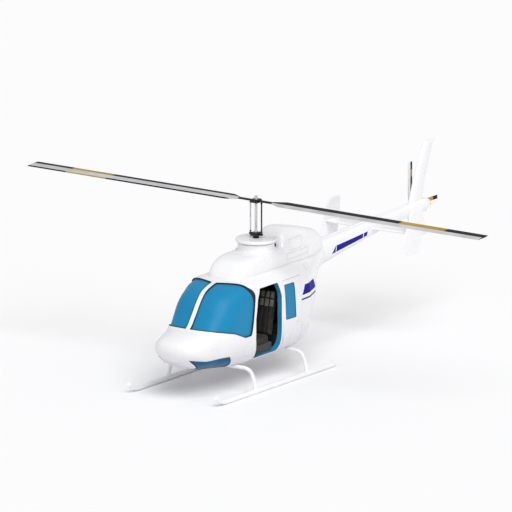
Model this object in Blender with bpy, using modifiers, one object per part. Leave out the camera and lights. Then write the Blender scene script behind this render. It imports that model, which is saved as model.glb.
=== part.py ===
"""A light single-turbine helicopter on skids, with a two-blade main rotor.

Metres, +Z up, ground at z = 0, nose towards -Y, port side at +X.  All tables
measure y from the rotor mast, and one empty, the mast datum, carries them to
the aircraft's own frame, whose origin is on the ground below its middle.
"""
import math
from collections import namedtuple

import bmesh
import bpy
from mathutils import Matrix, Vector

# Driving dimensions
ROTOR_RADIUS = 5.08
TAIL_ROTOR_RADIUS = 0.85
NOSE_Y = -2.80
TAIL_ROTOR_Y = 5.53
MAST_Y = -(NOSE_Y + TAIL_ROTOR_Y + TAIL_ROTOR_RADIUS) / 2
GAP = 0.0003          # between two fixed pieces that touch
CLEAR = 0.006         # round a door in its opening
WALL = 0.06           # fuselage wall and doors
RING_SIDES = 32

# Cabin openings
DOOR_BOTTOM = 0.52
DOOR_TOP = 1.82
HINGE_X = 0.715
FRONT_HINGE_Y = -1.05
FRONT_DOOR_REACH = 0.84
REAR_HINGE_Y = -0.151
REAR_DOOR_REACH = 0.60
NOSE_JOINT_Y = -0.72
AFT_JOINT_Y = 0.40
POST_HALF = 0.045
FLOOR_Z = 0.519

# Rotor group
HUB_Z = 3.215
MAST_RADIUS = 0.025
BLADE_CHORD = 0.33
BLADE_ROOT = 0.38
BLADE_TILT = 4.0      # degrees, aft side up, as the stick is left forward
ROTOR_REST = -1.84    # degrees that the parked rotor stands off square
COLLAR_TOP = 2.52
TAIL_ROTOR_X = -0.28
TAIL_ROTOR_Z = 1.99

# Undercarriage
SKID_X = 0.963
SKID_RADIUS = 0.047
CROSS_RADIUS = 0.035
CROSS_Z = 0.456
CROSS_ROWS = {"cross_tube_front": -1.435, "cross_tube_rear": 0.235}

Section = namedtuple("Section", "y half_width bottom middle top upper lower")

# Cabin pod: y, half width, lowest, widest and highest z, corner powers
POD = [Section(*row) for row in (
    (-2.80, 0.12, 0.87, 0.925, 0.98, 2.0, 2.0),
    (-2.74, 0.32, 0.76, 0.92, 1.06, 2.1, 2.0),
    (-2.60, 0.465, 0.66, 0.92, 1.13, 2.3, 2.1),
    (-2.40, 0.535, 0.55, 0.91, 1.19, 2.5, 2.5),
    (-2.22, 0.565, 0.51, 0.91, 1.24, 2.6, 2.8),
    (-2.05, 0.58, 0.485, 0.93, 1.43, 2.6, 3.0),
    (-1.85, 0.63, 0.465, 0.96, 1.70, 2.8, 3.1),
    (-1.70, 0.67, 0.45, 1.00, 1.84, 3.1, 3.2),
    (-1.50, 0.695, 0.425, 1.06, 1.915, 3.7, 3.4),
    (-1.33, 0.70, 0.41, 1.10, 1.95, 4.8, 3.6),
    (-1.00, 0.71, 0.405, 1.11, 1.98, 5.8, 3.7),
    (0.00, 0.71, 0.40, 1.11, 1.98, 5.8, 3.6),
    (0.40, 0.71, 0.39, 1.11, 1.98, 5.2, 3.4),
    (0.70, 0.695, 0.415, 1.14, 1.98, 4.3, 3.1),
    (0.90, 0.63, 0.53, 1.21, 1.98, 3.5, 2.7),
    (1.10, 0.553, 0.725, 1.32, 1.985, 3.0, 2.5),
    (1.30, 0.455, 0.985, 1.46, 2.00, 2.8, 2.3),
    (1.50, 0.34, 1.245, 1.60, 2.03, 2.6, 2.2),
    (1.75, 0.25, 1.50, 1.78, 2.06, 2.4, 2.2),
    (1.95, 0.20, 1.605, 1.85, 2.085, 2.4, 2.2),
)]

BOOM = [Section(*row) for row in (
    (1.95 + GAP, 0.20, 1.605, 1.85, 2.085, 2.4, 2.2),
    (3.05, 0.165, 1.745, 1.94, 2.12, 2.4, 2.2),
    (4.55, 0.115, 1.915, 2.04, 2.165, 2.4, 2.2),
    (5.56, 0.090, 1.965, 2.08, 2.195, 2.4, 2.2),
    (5.70, 0.045, 2.02, 2.08, 2.14, 2.0, 2.0),
)]

# Fairing before and round the mast, then the cowling over the engine
COWLING_START = 0.36
ROOF_FAIRING = [Section(*row) for row in (
    (-1.12, 0.24, 1.80, 1.90, 2.01, 2.8, 2.0),
    (-1.05, 0.34, 1.80, 1.92, 2.08, 3.2, 2.0),
    (-0.95, 0.38, 1.80, 1.95, 2.17, 3.8, 2.0),
    (-0.82, 0.40, 1.80, 1.98, 2.245, 4.4, 2.0),
    (-0.62, 0.41, 1.80, 2.00, 2.295, 5.0, 2.0),
    (-0.40, 0.41, 1.80, 2.02, 2.31, 5.2, 2.0),
    (COWLING_START - GAP, 0.41, 1.80, 2.02, 2.315, 5.2, 2.0),
)]
ENGINE_COWLING = [Section(*row) for row in (
    (COWLING_START, 0.37, 1.80, 2.02, 2.37, 3.2, 2.0),
    (0.46, 0.375, 1.80, 2.02, 2.54, 3.2, 2.0),
    (0.66, 0.375, 1.80, 2.03, 2.62, 3.2, 2.0),
    (1.00, 0.36, 1.80, 2.03, 2.57, 3.2, 2.0),
    (1.40, 0.32, 1.80, 2.03, 2.47, 3.0, 2.0),
    (1.70, 0.26, 1.84, 2.03, 2.38, 2.8, 2.0),
    (1.84, 0.215, 1.86, 2.03, 2.30, 2.6, 2.0),
    (1.95, 0.15, 1.90, 2.03, 2.19, 2.4, 2.0),
    (2.02, 0.07, 1.96, 2.03, 2.11, 2.2, 2.0),
)]

# Outlines seen from the side, as (y, z)
FRONT_DOORWAY = [(-0.98, DOOR_BOTTOM), (-1.04, 0.90), (-1.04, 1.27), (-0.975, 1.64), (-0.865, DOOR_TOP),
                 (-0.29, DOOR_TOP), (-0.19, 1.52), (0.20, 1.52), (0.20, 0.75), (-0.19, 0.75),
                 (-0.23, DOOR_BOTTOM)]
# The door is cut back more than its opening at the rear corners, where it turns past the post
FRONT_DOOR = [(y - 0.012 if -0.30 < y < 0.0 else y, z) for y, z in FRONT_DOORWAY]
REAR_DOORWAY = [(-0.145, DOOR_BOTTOM), (-0.145, DOOR_TOP), (0.70, DOOR_TOP), (0.70, DOOR_BOTTOM)]
FRONT_WINDOW = [(-0.97, 1.12), (-0.97, 1.30), (-0.90, 1.62), (-0.82, 1.74), (-0.34, 1.74), (-0.26, 1.50),
                (-0.26, 1.12)]
REAR_WINDOW = [(-0.065, 1.08), (-0.105, 1.74), (0.216, 1.735), (0.267, 1.075)]
WINDSHIELD_SIDE = [(-3.0, 1.30), (-2.22, 1.243), (-1.975, 1.193), (-1.675, 1.125), (-1.372, 0.998),
                   (-1.18, 1.00), (-1.145, 1.10), (-1.115, 1.249), (-1.075, 1.531), (-1.035, 1.757),
                   (-1.02, 2.40), (-3.0, 2.40)]
CHIN_SIDE = [(-2.62, 0.742), (-2.355, 0.723), (-1.775, 0.715), (-1.65, 0.537), (-1.60, 0.30),
             (-2.28, 0.30), (-2.36, 0.56)]
# Outlines seen from above, port half, as (x, y)
WINDSHIELD_PLAN = [(POST_HALF, -3.0), (POST_HALF, -1.36), (0.394, -1.25), (0.612, -1.165),
                   (0.70, -1.03), (1.0, -1.02), (1.0, -3.0)]
CHIN_PLAN = [(0.16, -2.70), (0.16, -2.30), (0.36, -1.50), (0.90, -1.50), (0.90, -2.70)]

# Fins and stabiliser: station along the span, then leading and trailing y
TAIL_FIN = [(2.10, 5.00, 5.46), (2.54, 5.16, 5.57), (3.18, 5.46, 5.83), (3.27, 5.56, 5.90)]
VENTRAL_FIN = [(2.04, 4.96, 5.45), (1.70, 5.14, 5.585), (1.50, 5.27, 5.64)]
ENDPLATE = [(1.58, 3.60, 3.98), (1.81, 3.43, 4.06), (2.25, 3.645, 4.13), (2.38, 3.70, 4.13),
            (2.42, 3.76, 4.11)]
STABILISER_Z = 2.0
STABILISER_SPAN = 0.92

COLOURS = {
    "white": ((0.86, 0.86, 0.88, 1), 0.35, 0.0),
    "glass": ((0.03, 0.27, 0.51, 1), 0.15, 0.0),
    "black": ((0.02, 0.02, 0.02, 1), 0.5, 0.0),
    "cloth": ((0.06, 0.06, 0.055, 1), 0.9, 0.0),
    "steel": ((0.35, 0.35, 0.36, 1), 0.4, 0.8),
    "blade": ((0.45, 0.45, 0.46, 1), 0.45, 0.0),
}


def clear_scene():
    for item in list(bpy.data.objects):
        bpy.data.objects.remove(item, do_unlink=True)


def new_collection(name):
    made = bpy.data.collections.new(name)
    bpy.context.scene.collection.children.link(made)
    return made


def paint(piece, finish):
    colour, roughness, metallic = COLOURS[finish]
    material = bpy.data.materials.new(piece.name + "_" + finish)
    material.use_nodes = True
    shader = material.node_tree.nodes["Principled BSDF"]
    shader.inputs["Base Color"].default_value = colour
    shader.inputs["Roughness"].default_value = roughness
    shader.inputs["Metallic"].default_value = metallic
    piece.data.materials.append(material)


def empty(name, location, parent=None):
    made = bpy.data.objects.new(name, None)
    made.location = location
    made.parent = parent
    PARTS.objects.link(made)
    return made


def add(name, mesh, finish, parent, smooth=30):
    """Put a finished mesh in the parts collection as a node."""
    piece = bpy.data.objects.new(name, mesh)
    PARTS.objects.link(piece)
    piece.parent = parent
    paint(piece, finish)
    if smooth:
        mesh.shade_smooth()
        mesh.set_sharp_from_angle(angle=math.radians(smooth))
    return piece


def tool(name, mesh):
    """Put a mesh in the cutter collection."""
    piece = bpy.data.objects.new(name, mesh)
    CUTTERS.objects.link(piece)
    piece.parent = DATUM
    piece.hide_render = True
    piece.display_type = "WIRE"
    return piece


def cut(piece, operation, other):
    step = piece.modifiers.new(other.name, "BOOLEAN")
    step.operation = operation
    step.solver = "EXACT"
    step.object = other


def bevel(piece, width, segments=1, angle=40):
    step = piece.modifiers.new("edges", "BEVEL")
    step.width = width
    step.segments = segments
    step.limit_method = "ANGLE"
    step.angle_limit = math.radians(angle)


def mesh_from(name, work):
    bmesh.ops.recalc_face_normals(work, faces=work.faces)
    mesh = bpy.data.meshes.new(name)
    work.to_mesh(mesh)
    work.free()
    return mesh


def loft_rings(name, rings):
    """Join closed rings of equal length, with flat ends."""
    work = bmesh.new()
    loops = [[work.verts.new(point) for point in ring] for ring in rings]
    count = len(loops[0])
    for near, far in zip(loops, loops[1:]):
        for i in range(count):
            j = (i + 1) % count
            work.faces.new((near[i], near[j], far[j], far[i]))
    work.faces.new(list(reversed(loops[0])))
    work.faces.new(loops[-1])
    bmesh.ops.triangulate(work, faces=work.faces)
    return mesh_from(name, work)


def section_ring(section, inset=0.0, sides=RING_SIDES):
    """A rounded box outline: the powers say how square its corners are."""
    points = []
    for step in range(sides):
        turn = 2 * math.pi * step / sides
        across = math.cos(turn)
        up = math.sin(turn)
        power = section.upper if up >= 0 else section.lower
        reach = (section.top - section.middle) if up >= 0 else (section.middle - section.bottom)
        x = (section.half_width - inset) * math.copysign(abs(across) ** (2 / power), across)
        z = section.middle + (reach - inset) * math.copysign(abs(up) ** (2 / power), up)
        points.append((x, section.y, z))
    return points


def pod_loft(name, inset):
    """The pod's outer form moved inwards; its nose cap moves aft as well."""
    rings = []
    for section in POD:
        nose_share = max(0.0, (-1.9 - section.y) / 0.9)
        moved = section._replace(y=section.y + inset * nose_share)
        narrowest = min(moved.half_width, moved.top - moved.middle, moved.middle - moved.bottom)
        rings.append(section_ring(moved, min(inset, narrowest * 0.75)))
    return loft_rings(name, rings)


def section_loft(name, sections, inset=0.0, sides=RING_SIDES):
    return loft_rings(name, [section_ring(row, inset, sides) for row in sections])


def prism(name, outline, axis, low, high):
    """A flat outline carried along X or Z."""
    work = bmesh.new()
    if axis == "X":
        base = [work.verts.new((low, a, b)) for a, b in outline]
        shift = Vector((high - low, 0, 0))
    else:
        base = [work.verts.new((a, b, low)) for a, b in outline]
        shift = Vector((0, 0, high - low))
    face = work.faces.new(base)
    grown = bmesh.ops.extrude_face_region(work, geom=[face])["geom"]
    moved = [item for item in grown if isinstance(item, bmesh.types.BMVert)]
    bmesh.ops.translate(work, verts=moved, vec=shift)
    return mesh_from(name, work)


def inset_outline(outline, distance):
    """Move every side of a closed outline inwards by a distance."""
    count = len(outline)
    area = sum(outline[i][0] * outline[(i + 1) % count][1] - outline[(i + 1) % count][0] * outline[i][1]
               for i in range(count))
    turn = 1 if area > 0 else -1
    moved = []
    for i in range(count):
        here = Vector(outline[i])
        before = (here - Vector(outline[i - 1])).normalized()
        after = (Vector(outline[(i + 1) % count]) - here).normalized()
        normal_before = Vector((-before.y, before.x)) * turn
        normal_after = Vector((-after.y, after.x)) * turn
        both = normal_before + normal_after
        moved.append(tuple(here + both * (distance / (1 + normal_before.dot(normal_after)))))
    return moved


def block(name, low, high):
    work = bmesh.new()
    bmesh.ops.create_cube(work, size=1.0)
    size = Vector(high) - Vector(low)
    bmesh.ops.scale(work, verts=work.verts, vec=size)
    bmesh.ops.translate(work, verts=work.verts, vec=(Vector(high) + Vector(low)) / 2)
    return mesh_from(name, work)


def cylinder(name, centre, radius, low, high, sides=96):
    work = bmesh.new()
    bmesh.ops.create_cone(work, cap_ends=True, segments=sides, radius1=radius, radius2=radius,
                          depth=high - low)
    bmesh.ops.translate(work, verts=work.verts, vec=(centre[0], centre[1], (low + high) / 2))
    return mesh_from(name, work)


def bore(name, centre, radius, low, high, sides=24):
    """A cutter whose flat sides stay outside a round bar of this radius."""
    return cylinder(name, centre, (radius + GAP) / math.cos(math.pi / sides), low, high, sides)


def mirrored(outline):
    return [(-a, b) for a, b in outline]


def wing(name, stations, span, chord, thick, points=7):
    """A symmetric aerofoil carried along its span.

    Each station is (place on the span, leading edge, trailing edge, thickness).
    """
    shape = []
    for i in range(points):
        u = (1 - math.cos(math.pi * i / (points - 1))) / 2
        v = 5 * (0.2969 * math.sqrt(u) - 0.126 * u - 0.3516 * u ** 2 + 0.2843 * u ** 3 - 0.1036 * u ** 4)
        shape.append((u, v))
    loop = shape + [(u, -v) for u, v in reversed(shape[1:-1])]
    rings = []
    for place, lead, trail, thickness in stations:
        rings.append([span * place + chord * (lead + (trail - lead) * u) + thick * (v * thickness)
                      for u, v in loop])
    return loft_rings(name, rings)


def turned(name, profile, sides, finish, parent, location):
    """A round piece: (radius, z) from its top down its outer side."""
    mesh = bpy.data.meshes.new(name)
    edges = [(i, i + 1) for i in range(len(profile) - 1)]
    if profile[0][0] > 0:
        edges.append((len(profile) - 1, 0))
    mesh.from_pydata([(radius, 0, z) for radius, z in profile], edges, [])
    piece = add(name, mesh, finish, parent, smooth=0)
    piece.location = location
    spin = piece.modifiers.new("turn", "SCREW")
    spin.steps = sides
    spin.render_steps = sides
    spin.use_merge_vertices = True
    spin.merge_threshold = 0.0001
    spin.use_smooth_shade = True
    return piece


def tube(name, points, radius, finish, parent, resolution=2):
    """A round bar along a route, turned into a mesh so that it can be cut."""
    curve = bpy.data.curves.new(name, "CURVE")
    curve.dimensions = "3D"
    curve.bevel_depth = radius
    curve.bevel_resolution = resolution
    curve.use_fill_caps = True
    spline = curve.splines.new("POLY")
    spline.points.add(len(points) - 1)
    for knot, point in zip(spline.points, points):
        knot.co = (*point, 1)
    route = bpy.data.objects.new(name + "_route", curve)
    PARTS.objects.link(route)
    bpy.context.view_layer.update()
    mesh = bpy.data.meshes.new_from_object(route.evaluated_get(bpy.context.evaluated_depsgraph_get()))
    bpy.data.objects.remove(route, do_unlink=True)
    work = bmesh.new()
    work.from_mesh(mesh)
    bmesh.ops.remove_doubles(work, verts=work.verts, dist=0.0001)
    bmesh.ops.recalc_face_normals(work, faces=work.faces)
    work.to_mesh(mesh)
    work.free()
    return add(name, mesh, finish, parent)


def arc_points(centre, radius, start, end, steps):
    """Points on an arc in the (first, second) plane, angles in degrees."""
    angles = [math.radians(start + (end - start) * i / steps) for i in range(steps + 1)]
    return [(centre[0] + radius * math.cos(a), centre[1] + radius * math.sin(a)) for a in angles]


def windshield_cutter(side, inset):
    name = "windshield_space_%s_%d" % (side, round(inset * 10000))
    sign = 1 if side == "port" else -1
    plan = inset_outline(WINDSHIELD_PLAN, inset)
    plan = plan if sign > 0 else mirrored(plan)
    body = tool(name, prism(name, plan, "Z", 0.7, 2.3))
    low, high = sorted((0.02 * sign, 1.0 * sign))
    outline = prism(name + "_side", inset_outline(WINDSHIELD_SIDE, inset), "X", low, high)
    cut(body, "INTERSECT", tool(name + "_side", outline))
    return body


def chin_cutter(side, inset):
    name = "chin_space_%s_%d" % (side, round(inset * 10000))
    sign = 1 if side == "port" else -1
    plan = inset_outline(CHIN_PLAN, inset)
    plan = plan if sign > 0 else mirrored(plan)
    body = tool(name, prism(name, plan, "Z", 0.3, 0.9))
    low, high = sorted((0.02 * sign, 1.0 * sign))
    outline = prism(name + "_side", inset_outline(CHIN_SIDE, inset), "X", low, high)
    cut(body, "INTERSECT", tool(name + "_side", outline))
    return body


def doorway_cutter(label, side, outline, hinge_y, reach, inset):
    """The space of a door: straight edges but for the swept rear one."""
    name = "%s_%s_%d" % (label, side, round(inset * 10000))
    sign = 1 if side == "port" else -1
    low, high = sorted((0.35 * sign, 1.0 * sign))
    body = tool(name, prism(name, inset_outline(outline, inset), "X", low, high))
    swept = cylinder(name + "_sweep", (HINGE_X * sign, hinge_y), reach - inset, 0.2, 2.2, sides=128)
    cut(body, "INTERSECT", tool(name + "_sweep", swept))
    return body


def side_cutter(label, side, outline, inset):
    name = "%s_%s_%d" % (label, side, round(inset * 10000))
    low, high = (0.35, 1.0) if side == "port" else (-1.0, -0.35)
    return tool(name, prism(name, inset_outline(outline, inset), "X", low, high))


def shell_piece(name, region, parent, cutters):
    """One panel of the hollow pod: the part of its wall inside a region."""
    piece = add(name, pod_loft(name, 0.0), "white", parent)
    cut(piece, "INTERSECT", region)
    cut(piece, "DIFFERENCE", POD_INSIDE)
    for cutter in cutters:
        cut(piece, "DIFFERENCE", cutter)
    return piece


def pane(name, space, parent):
    """Glass that follows the pod's skin inside its frame."""
    piece = add(name, pod_loft(name, 0.006), "glass", parent)
    cut(piece, "INTERSECT", space)
    cut(piece, "DIFFERENCE", GLASS_INSIDE)
    return piece


def build_pod():
    sides = ("port", "starboard")
    front_space = {s: doorway_cutter("front_doorway", s, FRONT_DOORWAY, FRONT_HINGE_Y,
                                     FRONT_DOOR_REACH + CLEAR, 0.0) for s in sides}
    rear_space = {s: doorway_cutter("rear_doorway", s, REAR_DOORWAY, REAR_HINGE_Y,
                                    REAR_DOOR_REACH + CLEAR, 0.0) for s in sides}
    shields = {s: windshield_cutter(s, 0.0) for s in sides}
    chins = {s: chin_cutter(s, 0.0) for s in sides}
    tunnels = [tool(name + "_tunnel", cross_tube_mesh(name + "_tunnel", y, CROSS_RADIUS + 0.001))
               for name, y in CROSS_ROWS.items()]

    nose = tool("nose_region", block("nose_region", (-1, -3, 0), (1, NOSE_JOINT_Y - GAP, 2.5)))
    shell_piece("nose_shell", nose, DATUM, list(shields.values()) + list(chins.values())
                + list(front_space.values()) + tunnels[:1])
    belly = tool("belly_region", block("belly_region", (-1, NOSE_JOINT_Y, 0),
                                       (1, AFT_JOINT_Y - GAP, DOOR_BOTTOM)))
    shell_piece("belly_shell", belly, DATUM, tunnels[1:])
    roof = tool("roof_region", block("roof_region", (-1, NOSE_JOINT_Y, DOOR_TOP),
                                     (1, AFT_JOINT_Y - GAP, 2.5)))
    shell_piece("roof_shell", roof, DATUM, [])
    aft = tool("aft_region", block("aft_region", (-1, AFT_JOINT_Y, 0), (1, 3, 2.5)))
    shell_piece("aft_shell", aft, DATUM, list(rear_space.values()))
    for side in sides:
        low, high = (0.3, 1.0) if side == "port" else (-1.0, -0.3)
        name = "door_post_" + side
        region = tool(name + "_region", block(name, (low, -0.40, DOOR_BOTTOM + GAP),
                                              (high, 0.0, DOOR_TOP - GAP)))
        shell_piece(name, region, DATUM, [front_space[side], rear_space[side]])
        pane("windshield_" + side, windshield_cutter(side, GAP), DATUM)
        pane("chin_window_" + side, chin_cutter(side, GAP), DATUM)

    build_door("front", "starboard", FRONT_DOOR, FRONT_WINDOW, FRONT_HINGE_Y, FRONT_DOOR_REACH)
    for side in sides:
        build_door("rear", side, REAR_DOORWAY, REAR_WINDOW, REAR_HINGE_Y, REAR_DOOR_REACH)


def build_door(place, side, outline, window, hinge_y, reach):
    """A door swings on an empty at its hinge line, at its front edge."""
    sign = 1 if side == "port" else -1
    name = "%s_door_%s" % (place, side)
    hinge = empty(name + "_hinge", (HINGE_X * sign, hinge_y, DOOR_BOTTOM), DATUM)
    space = doorway_cutter(name + "_space", side, outline, hinge_y, reach + CLEAR, CLEAR)
    opening = side_cutter(name + "_window_space", side, window, 0.0)
    door = shell_piece(name, space, hinge, [opening])
    glass = pane("%s_window_%s" % (place, side), side_cutter(name + "_glass", side, window, GAP), hinge)
    for piece in (door, glass):
        piece.data.transform(Matrix.Translation(-hinge.location))


def cross_tube_route(y):
    """The bowed tube from one skid to the other, under the floor."""
    half = [(SKID_X, 0.06), (0.935, 0.21), (0.905, 0.31), (0.87, 0.380), (0.82, 0.427),
            (0.74, 0.451), (0.60, CROSS_Z)]
    right = [(x, y, z) for x, z in half]
    return right + [(-x, y, z) for x, z in reversed(half)]


def cross_tube_mesh(name, y, radius):
    made = tube(name, cross_tube_route(y), radius, "white", DATUM)
    mesh = made.data
    bpy.data.objects.remove(made, do_unlink=True)
    return mesh


def build_undercarriage():
    bend = arc_points((-2.36, 0.60), 0.60 - SKID_RADIUS, 230, 270, 5)
    route = [(y, z) for y, z in bend] + [(1.12, SKID_RADIUS)]
    for side, sign in (("port", 1), ("starboard", -1)):
        tube("skid_" + side, [(SKID_X * sign, y, z) for y, z in route], SKID_RADIUS, "white", DATUM)
    for name, y in CROSS_ROWS.items():
        piece = tube(name, cross_tube_route(y), CROSS_RADIUS, "white", DATUM)
        for sign in (1, -1):
            seat = bore(name + "_seat", (0, 0), SKID_RADIUS, -0.2, 0.2)
            seat.transform(Matrix.Rotation(math.radians(90), 4, "X"))
            seat.transform(Matrix.Translation((SKID_X * sign, y, SKID_RADIUS)))
            cut(piece, "DIFFERENCE", tool("%s_seat_%d" % (name, sign), seat))


def build_roof():
    """Two hollow cowlings on the roof, and the collar round the mast."""
    skin = tool("pod_skin", pod_loft("pod_skin", -GAP))
    boom_rows = [BOOM[0]._replace(y=BOOM[0].y - 0.08)] + BOOM[1:]
    boom = tool("boom_skin", section_loft("boom_skin", boom_rows, -GAP, 24))
    whole = {}
    for name, rows, drop in (("roof_fairing", ROOF_FAIRING, 0), ("engine_cowling", ENGINE_COWLING, 2)):
        piece = add(name, section_loft(name, rows, 0.0, 28), "white", DATUM)
        whole[name] = tool(name + "_skin", section_loft(name + "_skin", rows, -GAP, 28))
        inside = [rows[0]._replace(y=rows[0].y + 0.04)] + rows[1:len(rows) - drop]
        if not drop:
            inside[-1] = inside[-1]._replace(y=1.0)
        inner = tool(name + "_inside", section_loft(name + "_inside", inside, 0.04, 28))
        cut(piece, "DIFFERENCE", inner)
        cut(piece, "DIFFERENCE", skin)
        cut(piece, "DIFFERENCE", boom)
    cut(bpy.data.objects["roof_fairing"], "DIFFERENCE",
        tool("neck_hole", cylinder("neck_hole", (0, 0), 0.27, 2.15, 2.6, 48)))
    profile = [(0.06, COLLAR_TOP), (0.36, COLLAR_TOP), (0.38, COLLAR_TOP - 0.02), (0.38, 2.47),
               (0.36, 2.452), (0.34, 2.44), (0.34, 2.36), (0.352, 2.328), (0.376, 2.305),
               (0.376, 2.22), (0.28, 2.22), (0.28, 2.44), (0.06, 2.44)]
    collar = turned("mast_collar", profile, 40, "white", DATUM, (0, 0, 0))
    for other in whole.values():
        cut(collar, "DIFFERENCE", other)
    engine = add("engine_block", block("engine_block", (-0.17, 0.46, 2.04), (0.17, 1.25, 2.32)),
                 "steel", DATUM, smooth=0)
    bevel(engine, 0.02)
    gearbox = add("main_gearbox", block("main_gearbox", (-0.18, -0.20, 1.995), (0.18, 0.20, 2.26)),
                  "steel", DATUM, smooth=0)
    bevel(gearbox, 0.02)


def build_tail():
    boom = add("tail_boom", section_loft("tail_boom", BOOM, 0.0, 24), "white", DATUM)
    skin = bpy.data.objects["boom_skin"]
    x_dir, y_dir, z_dir = Vector((1, 0, 0)), Vector((0, 1, 0)), Vector((0, 0, 1))
    fin = [(z, lead, trail, 0.075 if z < 3.2 else 0.03) for z, lead, trail in TAIL_FIN]
    piece = add("tail_fin", wing("tail_fin", fin, z_dir, y_dir, x_dir), "white", DATUM)
    cut(piece, "DIFFERENCE", skin)
    low = [(z, lead, trail, 0.07 if z > 1.55 else 0.03) for z, lead, trail in VENTRAL_FIN]
    piece = add("ventral_fin", wing("ventral_fin", low, z_dir, y_dir, x_dir), "white", DATUM)
    cut(piece, "DIFFERENCE", skin)
    for side, sign in (("port", 1), ("starboard", -1)):
        name = "stabiliser_" + side
        rows = [(0.02 * sign, 3.58, 4.12, 0.07), ((STABILISER_SPAN - 0.0155) * sign, 3.64, 4.08, 0.055)]
        shape = wing(name, rows, x_dir, y_dir, z_dir)
        shape.transform(Matrix.Translation((0, 0, STABILISER_Z)))
        cut(add(name, shape, "white", DATUM), "DIFFERENCE", skin)
        name = "endplate_" + side
        rows = [(z, lead, trail, 0.03) for z, lead, trail in ENDPLATE]
        shape = wing(name, rows, z_dir, y_dir, x_dir)
        shape.transform(Matrix.Translation((STABILISER_SPAN * sign, 0, 0)))
        add(name, shape, "white", DATUM)
    box = block("tail_gearbox", (-0.21, TAIL_ROTOR_Y - 0.09, 1.93), (0.02, TAIL_ROTOR_Y + 0.09, 2.07))
    piece = add("tail_gearbox", box, "white", DATUM, smooth=0)
    cut(piece, "DIFFERENCE", skin)
    room = block("gearbox_room", (-0.2113, TAIL_ROTOR_Y - 0.0903, 1.9297),
                 (0.03, TAIL_ROTOR_Y + 0.0903, 2.0703))
    cut(bpy.data.objects["ventral_fin"], "DIFFERENCE", tool("gearbox_room", room))


def build_cabin():
    """What stands inside keeps clear of the doors, which are part of the wall."""
    hull = tool("hull_room", pod_loft("hull_room", WALL + GAP))
    room = tool("cabin_room", pod_loft("cabin_room", WALL + 2 * CLEAR))
    for name, low, high in (
            ("cabin_floor", (-0.7, -2.10, FLOOR_Z - 0.027), (0.7, AFT_JOINT_Y - 0.01, FLOOR_Z)),
            ("rear_bulkhead", (-0.7, 0.46, FLOOR_Z), (0.7, 0.49, 1.95))):
        piece = add(name, block(name, low, high), "cloth", DATUM, smooth=0)
        cut(piece, "INTERSECT", hull)
    foot = FLOOR_Z + GAP
    seat = [(-0.82, foot), (-0.20, foot), (-0.01, 1.60), (-0.10, 1.63), (-0.29, 0.80), (-0.82, 0.82)]
    for side, sign in (("port", 1), ("starboard", -1)):
        low, high = sorted((0.07 * sign, 0.50 * sign))
        piece = add("seat_" + side, prism("seat_" + side, seat, "X", low, high), "cloth", DATUM, smooth=0)
        cut(piece, "INTERSECT", room)
        bevel(piece, 0.02)
    bench = [(0.02, foot), (0.40, foot), (0.445, 1.48), (0.35, 1.50), (0.30, 0.88), (0.02, 0.90)]
    piece = add("rear_bench", prism("rear_bench", bench, "X", -0.56, 0.56), "cloth", DATUM, smooth=0)
    cut(piece, "INTERSECT", room)
    panel = [(-1.95, foot), (-1.70, foot), (-1.62, 1.16), (-1.72, 1.20), (-1.95, 1.10)]
    piece = add("instrument_panel", prism("instrument_panel", panel, "X", -0.20, 0.30), "black", DATUM,
                smooth=0)
    cut(piece, "INTERSECT", room)
    for side, x in (("port", 0.29), ("starboard", -0.29)):
        route = [(x, -1.04, foot), (x, -1.04, 0.70), (x, -0.98, 0.86), (x, -0.96, 1.0), (x, -0.98, 1.08)]
        tube("cyclic_" + side, route, 0.014, "black", DATUM, resolution=1)


def build_main_rotor():
    axis = empty("main_rotor_axis", (0, 0, 0), DATUM)
    axis.rotation_euler = (0, 0, math.radians(ROTOR_REST))
    mast = [(0.0, 3.31), (0.03, 3.31), (0.03, 3.25), (0.0405, 3.2475), (0.0405, 3.2465),
            (MAST_RADIUS, 3.2465), (MAST_RADIUS, 2.28), (0.0, 2.28)]
    turned("mast", mast, 20, "steel", axis, (0, 0, 0))
    hole = tool("mast_hole", bore("mast_hole", (0, 0), MAST_RADIUS, 2.0, 4.0))
    hole.parent = axis
    hub = add("rotor_hub", block("rotor_hub", (-0.079, -0.079, 3.181), (0.079, 0.079, 3.246)), "black",
              axis, smooth=0)
    yoke = tool("yoke", block("yoke", (-BLADE_ROOT + GAP, -0.03, 3.20), (BLADE_ROOT - GAP, 0.03, 3.23)))
    yoke.parent = axis
    cut(hub, "UNION", yoke)
    cut(hub, "DIFFERENCE", hole)
    lower = add("drive_block", block("drive_block", (-0.079, -0.079, 2.56), (0.079, 0.079, 2.62)),
                "black", axis, smooth=0)
    ears = tool("drive_ears", block("drive_ears", (-0.145, -0.02, 2.57), (0.145, 0.02, 2.61)))
    ears.parent = axis
    cut(lower, "UNION", ears)
    cut(lower, "DIFFERENCE", hole)
    for name, sign in (("pitch_rod_port", 1), ("pitch_rod_starboard", -1)):
        route = [(0.125 * sign, 0, 2.61 + GAP), (0.125 * sign, 0, 3.20 - GAP)]
        tube(name, route, 0.014, "steel", axis)
    for name, sign in (("main_blade_port", 1), ("main_blade_starboard", -1)):
        tilt = math.radians(BLADE_TILT)
        x_dir = Vector((sign, 0, 0))
        y_dir = Vector((0, math.cos(tilt), math.sin(tilt))) * sign
        z_dir = Vector((0, -math.sin(tilt), math.cos(tilt)))
        lead = BLADE_CHORD * 0.5
        rows = [(BLADE_ROOT, 0.06, -0.06, 0.03), (0.60, lead, -lead, 0.03),
                (ROTOR_RADIUS, lead, -lead, 0.024)]
        shape = wing(name, rows, x_dir, y_dir, z_dir, points=8)
        shape.transform(Matrix.Translation((0, 0, HUB_Z)))
        add(name, shape, "blade", axis)


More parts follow.
